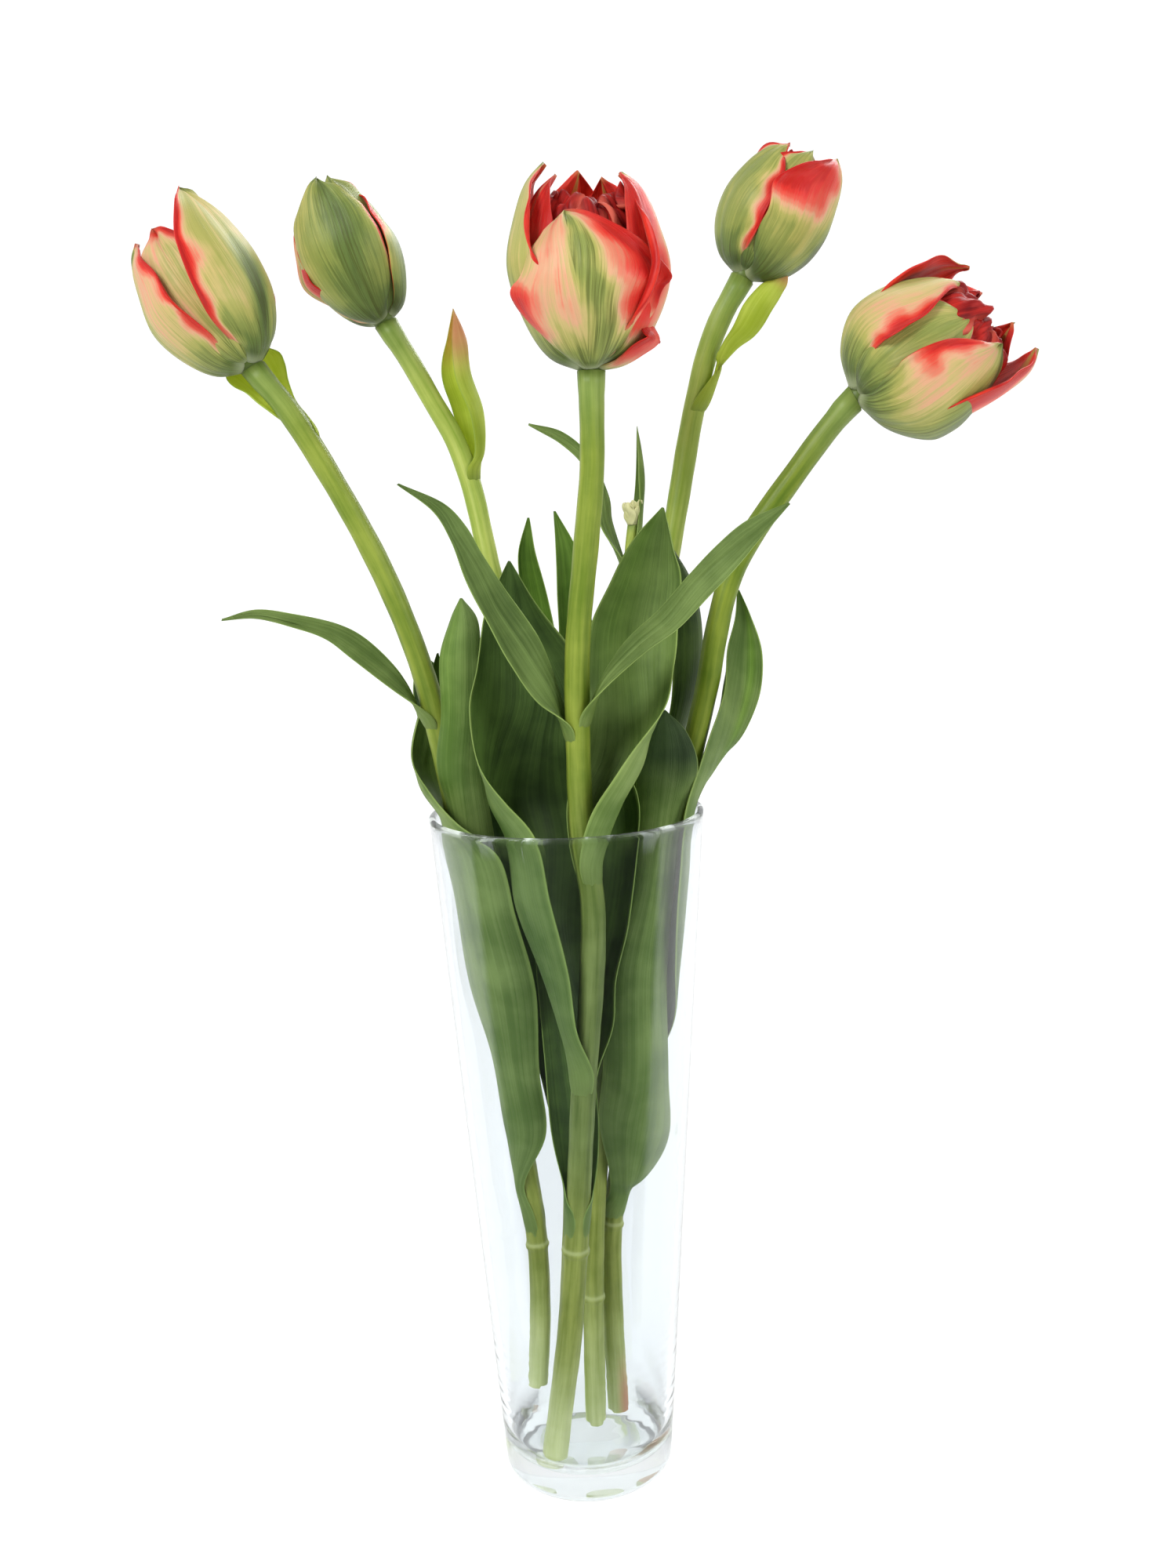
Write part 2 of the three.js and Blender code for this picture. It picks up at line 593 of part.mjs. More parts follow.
// turn: where the petal stands about the axis. reach, height and half: its size. hug: how closely
// it follows a circle about the axis. shingle: how far one margin lies in and the other out.
// lean: how far the tip stands outwards, as a share of the reach.
function petalGeometry({ turn, reach, height, half, rise, lean = 0, columns, steps, hug, shingle }) {
  const profile = curveThrough(PETAL_STATIONS.map(({ out, up }) => {
    const spread = lean * Math.max(0, up - LEAN_FROM) / (1 - LEAN_FROM);
    return new THREE.Vector3((out + spread) * reach, 0, rise + up * height);
  }));
  const widths = curveThrough(PETAL_STATIONS.map(({ width }, i) => new THREE.Vector3(i, width, 0)));
  const grid = [];
  for (let i = 0; i <= steps; i += 1) {
    const u = i / steps;
    const middle = profile.getPoint(u);
    const along = profile.getTangent(u);
    const inwards = new THREE.Vector3(-along.z, 0, along.x);
    const halfHere = half * widths.getPoint(u).y;
    const bend = Math.max(hug * middle.x, halfHere / TIGHTEST_BEND);
    const line = [];
    for (let j = 0; j <= columns; j += 1) {
      const angle = ((2 * j) / columns - 1) * (halfHere / bend);
      const side = bend * Math.sin(angle);
      const lift = bend * (1 - Math.cos(angle)) + shingle * side;
      line.push(middle.clone().addScaledVector(inwards, lift).add(new THREE.Vector3(0, side, 0)));
    }
    grid.push(line);
  }
  return blade(grid, PETAL).rotateZ(radians(turn));
}

// A round body about the bloom's axis, as [radius, height] pairs from bottom to top.
function spindle(profile, sides) {
  return loft(profile.map(([radius, height]) => ringAround(new THREE.Vector3(0, 0, height), UP, radius, sides)));
}

// The seat that the green petals grow from, and the pistil that the red ones stand about.
const RECEPTACLE = [[4.1, 0], [5.4, 1.2], [5.4, 3.4], [2.6, 4.8]];
const PISTIL = [[2.2, 5.2], [3.4, 8], [3.2, 18], [2.2, 24], [3.0, 27]];
const RECEPTACLE_SIDES = 8;
const PISTIL_SIDES = 6;

// The undeveloped bud at the end of the side shoot.
const SIDE_BUD = [[1.2, 0], [3.2, 2.5], [3.6, 5], [2.2, 8], [0.8, 9]];
const SIDE_BUD_SIDES = 8;
const SIDE_BUD_PLACE = [23.4, 34.2, 346.8];

// Each bloom stands on the stem of its number. axis: the way it leans. outer and inner: its two
// whorls of green petals, as [turn, height, half width] and, where they differ, the lean of the tip
// and the reach. Turns are about the bloom's axis: -90 faces the viewer.
const BLOOMS = {
  bloom_1: {
    stem: "stem_1", axis: [-0.49, 0, 0.872], reach: [22.2, 19.8],
    outer: [[-30, 62.5, 23, 0.1], [90, 55, 21], [200, 56, 20]],
    inner: [[-90, 57, 17.5], [30, 55, 17], [150, 54, 17]],
    heart: { reach: 14, height: 40, half: 11, petals: 4 },
  },
  bloom_2: {
    stem: "stem_2", axis: [-0.42, 0, 0.907], reach: [18.2, 15.8],
    outer: [[-107, 50.5, 18], [13, 51, 18], [133, 49, 17.5]],
    inner: [[-47, 48, 16], [73, 49, 15], [193, 48, 15]],
    heart: { reach: 11, height: 34, half: 9, petals: 4 },
  },
  bloom_3: {
    stem: "stem_3", axis: [-0.04, 0, 1], reach: [26.5, 23.5],
    outer: [[-90, 52, 27.5, 0.2], [28, 62, 25.5], [155, 65, 25.5]],
    inner: [[-32, 47, 20], [88, 61, 22], [208, 50, 20]],
    heart: { reach: 15.5, height: 47, half: 12.5, petals: 5 },
  },
  bloom_4: {
    stem: "stem_4", axis: [0.5, 0, 0.866], reach: [20.3, 17.8],
    outer: [[-32, 50.5, 21], [88, 47, 20], [205, 45, 19]],
    inner: [[-92, 45, 16], [30, 46, 16], [150, 44, 16]],
    heart: { reach: 12, height: 35, half: 10, petals: 4 },
  },
  bloom_5: {
    stem: "stem_5", axis: [0.865, -0.12, 0.487], reach: [26, 23],
    outer: [[-48, 48, 25], [70, 52, 24], [190, 45, 24]],
    inner: [[-108, 41, 19], [8, 63, 20, -0.2], [128, 52, 19]],
    reflexed: [[148, 54, 19, 0.12, 30.5]],
    heart: { reach: 15.5, height: 40, half: 12, petals: 5 },
  },
};

function whorl(petals, bloomReach, rise, form) {
  return petals.map(([turn, height, half, lean, reach = bloomReach]) => petalGeometry({
    ...form, turn, height, half, lean, reach, rise,
  }));
}

function heartGeometries({ reach, height, half, petals }) {
  const inner = Array.from({ length: petals }, (_, k) => {
    const share = k % 2 ? HEART_SHORT : 1;
    return petalGeometry({
      ...HEART_PETAL,
      turn: (360 * k) / petals + HEART_TURN,
      reach: reach * share,
      height: height * share,
      half,
      rise: HEART_RISE,
    });
  });
  return [spindle(PISTIL, PISTIL_SIDES), ...inner];
}

// Stands a bloom, modelled along +Z from its base, on its stem.
function onStem(geometry, { stem, axis }) {
  const direction = point(axis).normalize();
  const base = point(STEMS[stem].path.at(-1)).addScaledVector(direction, GAP);
  const lean = new THREE.Quaternion().setFromUnitVectors(UP, direction);
  return geometry.applyQuaternion(lean).translate(base.x, base.y, base.z);
}

// ---------- the part ----------

const tulips = new THREE.Group();

function addPiece(name, geometry, material) {
  const mesh = new THREE.Mesh(geometry, material);
  mesh.name = name;
  tulips.add(mesh);
}

addPiece("vase", vaseGeometry(), GLASS);
for (const [name, stem] of Object.entries(STEMS)) {
  const bloom = Object.values(BLOOMS).find((candidate) => candidate.stem === name);
  addPiece(name, stemGeometry(stem, bloom && point(bloom.axis).normalize()), STEM_GREEN);
}
for (const [name, leaf] of Object.entries(LEAVES)) {
  addPiece(name, leafGeometry(leaf), leaf.pale ? PALE_LEAF_GREEN : LEAF_GREEN);
}
for (const [name, bloom] of Object.entries(BLOOMS)) {
  const petals = [
    ...whorl(bloom.outer, bloom.reach[0], OUTER_RISE, OUTER_PETAL),
    ...whorl(bloom.inner, bloom.reach[1], INNER_RISE, INNER_PETAL),
    ...whorl(bloom.reflexed ?? [], bloom.reach[0], OUTER_RISE, OUTER_PETAL),
  ];
  const outer = fuse([spindle(RECEPTACLE, RECEPTACLE_SIDES), ...petals]);
  const heart = fuse(heartGeometries(bloom.heart));
  addPiece(`${name}_petals`, onStem(toGeometry(outer), bloom), PETAL_GREEN);
  addPiece(`${name}_heart`, onStem(toGeometry(heart), bloom), HEART_RED);
}
addPiece("side_bud", spindle(SIDE_BUD, SIDE_BUD_SIDES).translate(...SIDE_BUD_PLACE), BUD_YELLOW);

export default tulips;
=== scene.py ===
"""Five cut double tulips leaning out of a tall, clear glass vase.

The tables give the plants in millimetres, as the part's source does, and every mesh is made in
metres. +X is to the right, +Y is away from the viewer and +Z is up. Turns are in degrees, from +X
towards +Y. Each fine piece replaces the CAD node of its name and keeps that node's form.
"""

import math

import bpy
import numpy as np
from mathutils import Matrix, Vector


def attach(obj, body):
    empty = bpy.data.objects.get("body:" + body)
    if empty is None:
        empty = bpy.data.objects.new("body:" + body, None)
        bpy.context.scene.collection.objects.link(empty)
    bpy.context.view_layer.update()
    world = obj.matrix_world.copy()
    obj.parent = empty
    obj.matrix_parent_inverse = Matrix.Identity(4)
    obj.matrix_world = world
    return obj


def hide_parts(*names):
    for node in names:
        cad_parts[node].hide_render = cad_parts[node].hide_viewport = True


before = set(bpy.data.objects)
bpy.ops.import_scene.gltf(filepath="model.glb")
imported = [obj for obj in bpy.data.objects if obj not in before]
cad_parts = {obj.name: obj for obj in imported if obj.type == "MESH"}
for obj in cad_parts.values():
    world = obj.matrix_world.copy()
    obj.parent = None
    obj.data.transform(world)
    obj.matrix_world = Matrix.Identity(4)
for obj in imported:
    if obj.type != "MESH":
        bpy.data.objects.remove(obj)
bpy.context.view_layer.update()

MM = 0.001
UP = np.array([0.0, 0.0, 1.0])

# ---------- the tables ----------

VASE = {"height": 250, "rim_radius": 48, "foot_radius": 31, "rim_wall": 2, "low_wall": 3, "floor": 10}
SHEATH_GAP = 0.6  # from a stem to the leaf that wraps it
CAD_BLADE = 0.9  # thickness of the CAD leaves
BLOOM_GAP = 0.35  # from a stem's top to its bloom

# Each stem: its radius at the foot and at the top, its tone from 0 for a deep green to above 1 for a
# pale one, the heights of its leaf scars, a rusty foot (brown) and the points of its axis.
STEMS = {
    "stem_1": dict(radius=(4.1, 4), tone=0.35, scars=(78,), path=[
        (-20, 14, 22), (-18, 15, 50), (-18, 17, 77), (-22, 15, 120), (-29, 9, 180), (-37.6, 3.5, 240),
        (-39.4, 2.5, 252), (-43, 2, 274), (-47.5, 4, 296), (-54.5, 6, 318), (-64, 8, 341), (-77, 8, 367),
        (-90, 8, 389.5), (-100.5, 8, 403)
    ]),
    "stem_2": dict(radius=(3.9, 3.7), tone=1, scars=(), path=[
        (-11, 9, 10.4), (-4.5, 10, 76), (-3, 11, 110), (-5, 13, 150), (-10, 17, 200), (-15, 20, 256),
        (-17, 24, 284), (-21, 28, 312), (-26, 33, 335), (-32, 40, 364), (-37.5, 43, 380), (-45, 44, 394),
        (-52.5, 45, 408), (-60, 45, 420.5)
    ]),
    "stem_3": dict(radius=(4.5, 4), tone=0.3, scars=(94,), path=[
        (-12, -17, 11.2), (-9, -17, 32), (-5, -18, 60), (-2.3, -19, 87), (0, -20, 114), (3.5, -21, 158),
        (7, -22, 191), (8.5, -23, 222), (6, -24, 246), (5.5, -24, 275), (6.5, -24, 309), (10.5, -25, 343),
        (13, -26, 365), (13.8, -26, 395)
    ]),
    "stem_4": dict(radius=(4, 3.9), tone=0.9, scars=(62,), path=[
        (2.6, 7, 10.4), (3.5, 6, 66), (4.5, 6.5, 88), (8, 9, 130), (13, 14, 180), (21, 21, 246),
        (27, 25, 283), (35, 30, 316), (42.5, 36, 352), (49, 42, 384), (55, 45, 407), (60.5, 45, 420),
        (67.5, 45, 431.5)
    ]),
    # stem_5's low tone is in part painted shade, where it runs behind the leaves.
    "stem_5": dict(radius=(4.1, 4), tone=0.1, scars=(87,), brown=1, path=[
        (11.6, 15, 10.4), (10.4, 15, 64), (11.5, 15, 88), (17, 12.5, 120), (24, 9, 160), (30.5, 5, 200),
        (39.8, 0.5, 250), (44.5, 0, 269), (50.5, 2, 293), (53.6, 3, 309), (58.5, 4, 327), (65.5, 4, 341),
        (81.5, 3, 363), (91.5, 2, 376), (100, 0, 386)
    ]),
    "side_shoot": dict(radius=(1.7, 2), tone=1.3, scars=(), path=[
        (24.2, 28.8, 296), (23.5, 31, 318), (25, 33, 336), (26.5, 34, 347)
    ]),
}

# Each leaf wraps its stem in sheath rows of (height, azimuth of the middle, half wrap). Above them a
# row has the points of the left margin, the middle and the right margin, and the last row is the tip.
# A row of seven is level: its height comes first, then x and y of each point. tone is -1 for a leaf
# painted in shade, 0 for a dark one, 1 for a pale one, 2 for lime and 3 for a bright one, painted as
# a backlit bract glows. lit is a painted stripe of light (middle, half width, strength). deep says from
# where to where along the leaf it is painted in blue-green shade, and blush where it turns to pink.
LEAVES = {
    "leaf_1_low": dict(stem="stem_1", tone=0.5, sheath=[(80, 150, 150), (92, 150, 130), (104, 160, 95)],
        rows=[
        (128, -12, 4, -28, 11, -19, 24), (-13, -3, 155, -31, 8, 156, -22, 25, 156),
        (-13, -10, 190, -37, 1, 187, -28, 24, 187), (-18, -18, 217, -40.3, -3, 220, -33, 21, 220),
        (240, -23, -22, -42.6, -7, -37, 18), (250, -36, -20, -44.3, 0, -38, 18),
        (-47, -8, 260, -51, 7, 263, -40, 17, 268), (-54, 3, 269, -49, 14, 277, -39, 16, 280),
        (-50, 11, 287, -46, 15, 292, -41, 14, 292), (-44, 13, 305)
    ]),
    "leaf_1_mid": dict(stem="stem_1", tone=0.3, lit=(-0.6, 0.5, 0.6),
        sheath=[(178, -60, -80), (188, -60, -70)], rows=[
        (206, -36.5, -1, -31, -4, -25, 2), (-39.5, -3, 231, -33, -6, 232, -25, -3, 231),
        (-40.5, -3.5, 250, -34, -8, 248, -26, -5, 247), (-44, -4, 267, -35, -9, 266, -28, -6, 265),
        (-42, -4, 285, -33, -9, 286, -27, -6, 284), (-41, -2, 306, -32, -8, 305, -27, -5, 306),
        (318, -37, -2, -32, -6, -28, -4), (-33, -4, 325)
    ]),
    "leaf_1_top": dict(stem="stem_1", tone=0.85, sheath=[(279, 205, 75), (284, 212, 60)], rows=[
        (-57, -6, 294, -56, -4, 297, -55, -4, 300), (-70, -11, 306, -68, -9, 309, -66, -8, 313),
        (-78, -13, 313, -76, -12, 315, -74, -11, 318), (-88, -15, 317.5, -88, -14, 319, -88, -14, 322),
        (-101, -16, 321, -101, -16, 322.5, -100, -16, 324), (-112, -16, 321)
    ]),
    "leaf_2_low": dict(stem="stem_2", tone=-0.6, sheath=[(112, 120, 130), (121, 125, 105)], rows=[
        (150, -15, 19, -11, 26, -4, 24), (190, -24, 26, -16, 32, -3, 31), (225, -33, 24, -25, 33, -8, 38),
        (250, -37, 23, -28.5, 33, -12, 40), (-50, 24, 272, -42, 34, 275, -28, 42, 275),
        (-55, 25, 288, -49, 34, 292, -41, 40, 292), (-53, 32, 304)
    ]),
    "leaf_2_mid": dict(stem="stem_2", tone=-0.1, lit=(0, 2, 0.7), sheath=[(206, 60, 80), (216, 60, 70)],
        rows=[
        (238, -16, 28, -6, 30, -2, 22), (268, -17, 31, -7, 34, -2, 27), (300, -17, 32, -8, 36, -2, 30),
        (321, -15, 32, -10, 35, -5, 31), (339, -15, 31, -12, 33, -9, 31), (-11, 31, 351)
    ]),
    "bract_2": dict(stem="stem_2", tone=2.2, blush=(0.62, 0.9), sheath=[(364, -20, 80), (369, -10, 70)],
        rows=[
        (-35, 50, 378, -27, 45, 376, -30, 39, 374), (-39, 53, 392, -27, 48, 390, -31, 41, 388),
        (-42, 52, 405, -31, 49, 404, -36, 43, 402), (-39, 50, 416, -32, 49, 415, -37, 46, 414),
        (-36, 47, 426)
    ]),
    "leaf_3_low": dict(stem="stem_3", tone=0.2,
        sheath=[(96, 100, 165), (109, 100, 160), (114, 100, 122), (119, 100, 88)], rows=[
        (-9, -14, 138, 0, -10, 138, 8, -13, 136), (165, -11, -7, -3, -4, 6, -6), (200, -13, 3, -5, 6, 4, 3),
        (225, -10, 10, -5, 12, 1, 10), (-5, 13, 245)
    ]),
    "leaf_3_big": dict(stem="stem_3", tone=0.15, sheath=[(152, 165, 150), (162, 165, 140)], rows=[
        (2, -29, 178, -4, -17, 178, 14, -17, 176), (0, -31, 199, -10, -16, 197, 15.5, -14, 192),
        (-5, -33, 225, -18, -15, 220, 21, -15, 214), (-9, -34, 246, -20, -14, 242, 25, -15, 242),
        (-19, -33, 259, -25, -11, 257, 24, -13, 257), (273, -27, -30, -21, -7, 18, -8),
        (-30, -24, 289, -15, -4, 289, 14, -6, 291), (-28, -19, 301, -15, -3, 302, 5, -5, 305),
        (-25, -13, 318, -17, -4, 317, -4, -6, 317), (-21, -9, 328, -16, -5, 328, -10, -7, 327),
        (-16, -6, 337)
    ]),
    "leaf_3_side": dict(stem="stem_3", tone=0.6, lit=(-0.5, 0.5, 0.5),
        sheath=[(228, 20, 145), (237, 20, 135)], rows=[
        (1, -20, 255, 17, -18, 256, 9, -33, 254), (5, -15, 270, 26, -17, 271, 19, -34, 269),
        (8, -13, 287, 27, -13, 286, 34, -26, 288), (301, 9, -12, 26, -10, 38, -20),
        (11, -12, 315, 26, -8, 313, 40, -17, 314), (330, 18, -12, 30, -7, 41, -14),
        (27, -11, 344, 33, -8, 345, 39, -12, 340), (36, -10, 353)
    ]),
    "leaf_3_left": dict(stem="stem_3", tone=0.55, sheath=[(277, 190, 72), (283, 185, 65)], rows=[
        (-7, -31, 292, -3, -26, 294, -1, -21, 297), (-15, -34, 305, -10, -28, 308, -6, -28, 313),
        (-22, -36, 319, -19, -32, 323, -16, -31, 329), (-28, -38, 333, -25, -35, 337, -23, -34, 341),
        (-32, -38, 345, -30, -37, 346, -27, -36, 349), (-37, -38, 354, -35, -37, 355, -33, -37, 356),
        (-48, -36, 363)
    ]),
    "leaf_3_right": dict(stem="stem_3", tone=0.8, sheath=[(282, -18, 66), (287, -15, 60)], rows=[
        (14, -28, 299, 15, -32, 298, 16, -34, 297), (23, -33, 312, 26, -35, 310, 29, -36, 308),
        (33, -35, 321, 36, -37, 318, 39, -38, 315), (43, -37, 332, 45, -38, 329, 49, -39, 325),
        (52, -37, 341, 55, -38, 338, 58, -39, 334), (61, -37, 348, 64, -37, 345, 66, -37, 343),
        (75, -34, 353)
    ]),
    "leaf_4_low": dict(stem="stem_4", tone=-0.7, sheath=[(64, 100, 100), (72, 102, 80), (80, 100, 45)],
        rows=[
        (96, 1.4, 13.2, 3, 14.2, 4.8, 14.6), (122, 0, 18.5, 5, 21, 10, 19), (145, -2, 23, 6, 28, 16, 24),
        (190, 2, 27, 12, 34, 24, 28), (225, 4, 32, 13, 38, 24, 33), (250, 7, 37, 15, 41, 23, 37),
        (15, 45, 275)
    ]),
    "leaf_4_mid": dict(stem="stem_4", tone=-0.2, lit=(0, 2, 0.7), sheath=[(203, 150, 80), (213, 150, 70)],
        rows=[
        (238, 3, 15, 8, 25, 17, 28), (270, 1, 15, 5, 24, 15, 26), (300, -1, 17, 4, 23, 12, 23),
        (320, -1, 17, 3, 21, 10, 20), (338, -1, 17, 2, 19, 7, 18), (-1, 17, 353)
    ]),
    "leaf_4_side": dict(stem="stem_4", tone=-0.8, sheath=[(232, 10, 80), (242, 10, 70)], rows=[
        (262, 34, 32, 38, 24, 32, 15), (285, 40, 33, 47, 24, 38, 14), (308, 44, 31, 50, 23, 39, 15),
        (325, 44, 27, 47, 21, 40, 17), (40, 19, 339)
    ]),
    "bract_4": dict(stem="stem_4", tone=2.4, blush=(0.7, 0.95), sheath=[(386, -40, 80), (390, -30, 70)],
        rows=[
        (60.5, 41, 409.5, 62.5, 38, 409, 65, 40, 407.5), (64.5, 42, 415.5, 68, 37, 414.5, 72, 40, 412.5),
        (68.5, 42, 423, 72.5, 36, 421.5, 77, 39, 419), (74, 43, 429, 77.5, 38, 428, 81, 40, 425.5),
        (78.5, 42, 432, 80.5, 40, 431, 83.5, 41, 429.5), (83.5, 41, 433.5)
    ]),
    # The upper part of leaf_5_low is painted in shade (deep).
    "leaf_5_low": dict(stem="stem_5", tone=0.5, deep=(0.74, 0.85),
        sheath=[(89, -60, -150), (95, -55, -112), (101, -50, -75)], rows=[
        (11, 4, 111, 17, 3, 110, 25, 11, 108), (8, -1, 134, 18, -4, 133, 34, 10, 124),
        (10, -4, 156, 22, -8, 153, 34, 5, 150), (12, -3, 193, 24, -8, 192, 34, 0, 190),
        (22, -4, 222, 30, -7.5, 224, 37, -3, 224), (24, -1, 243, 33, -7.5, 245, 40, -6, 247),
        (25, -1, 262, 36, -8, 266, 46, -8, 265), (29, -4, 277, 36, -8, 278, 42.5, -8, 277), (35, -7, 285)
    ]),
    "leaf_5_side": dict(stem="stem_5", tone=0.25, lit=(-0.45, 0.22, 0.9),
        sheath=[(140, 60, 115), (150, 55, 100)], rows=[
        (168, 22, 18, 34, 12, 36, 5), (192, 28, 18, 38, 8, 37, -5), (225, 34, 16, 42, 4, 38, -11),
        (249, 40, 14, 44.9, 3, 41, -10), (55, 10, 265, 52, 2, 263, 47, -7, 266),
        (63, 10, 273, 58, 5, 276, 51, -4, 276), (69, 8, 288, 62, 9, 290, 56, -2, 291),
        (70, 8, 302, 63, 10, 303, 58, 6, 304), (315, 66, 8, 64, 10, 61, 9), (62, 9, 324)
    ]),
    "bract_1": dict(stem="stem_1", tone=3, sheath=[(379, 65, 80), (383, 65, 72)], rows=[
        (-94, 7, 388, -93.5, 13, 392.5, -88.5, 12, 394),
        (-103, 8, 395, -101.5, 17, 399.5, -91.5, 16, 403.5),
        (-111, 11, 401.5, -108, 20, 406.5, -94, 19, 410), (-105.5, 24, 413.5)
    ]),
    "side_leaf_up": dict(stem="side_shoot", tone=0.8, sheath=[(336, 0, 70), (340, 0, 65)], rows=[
        (353, 27, 40, 30, 36, 29, 32), (364, 28, 39, 31, 36, 29, 33), (29, 38, 382)
    ]),
    "side_leaf_long": dict(stem="side_shoot", tone=0.8, sheath=[(328, 180, 70), (333, 180, 65)], rows=[
        (15, 31, 347, 17, 34, 348, 19, 37, 349), (14, 34, 356, 16, 36, 357, 18, 38, 358),
        (9, 36, 369, 10, 37, 371, 11, 38, 373), (1, 37, 377, 1, 38, 379, 2, 38, 381), (-10, 38, 384)
    ]),
}

PALE_LEAVES = ("leaf_1_top", "leaf_3_right", "leaf_4_side", "bract_4", "bract_1")

PETAL_DEFAULTS = dict(
    lean=0, skew=0, blunt=(1, 1), rough=1, roll=((0, 0), (0, 0)), roll_from=0.12, at=0, drift=0,
    green=0.8, fade=(1.3, 1.2), spans=((0, 1.2), (0, 1.2)), blush=0,
)


def petal(turn, height, half, flame, red, **others):
    return dict(PETAL_DEFAULTS, turn=turn, height=height, half=half, flame=flame, red=red, **others)


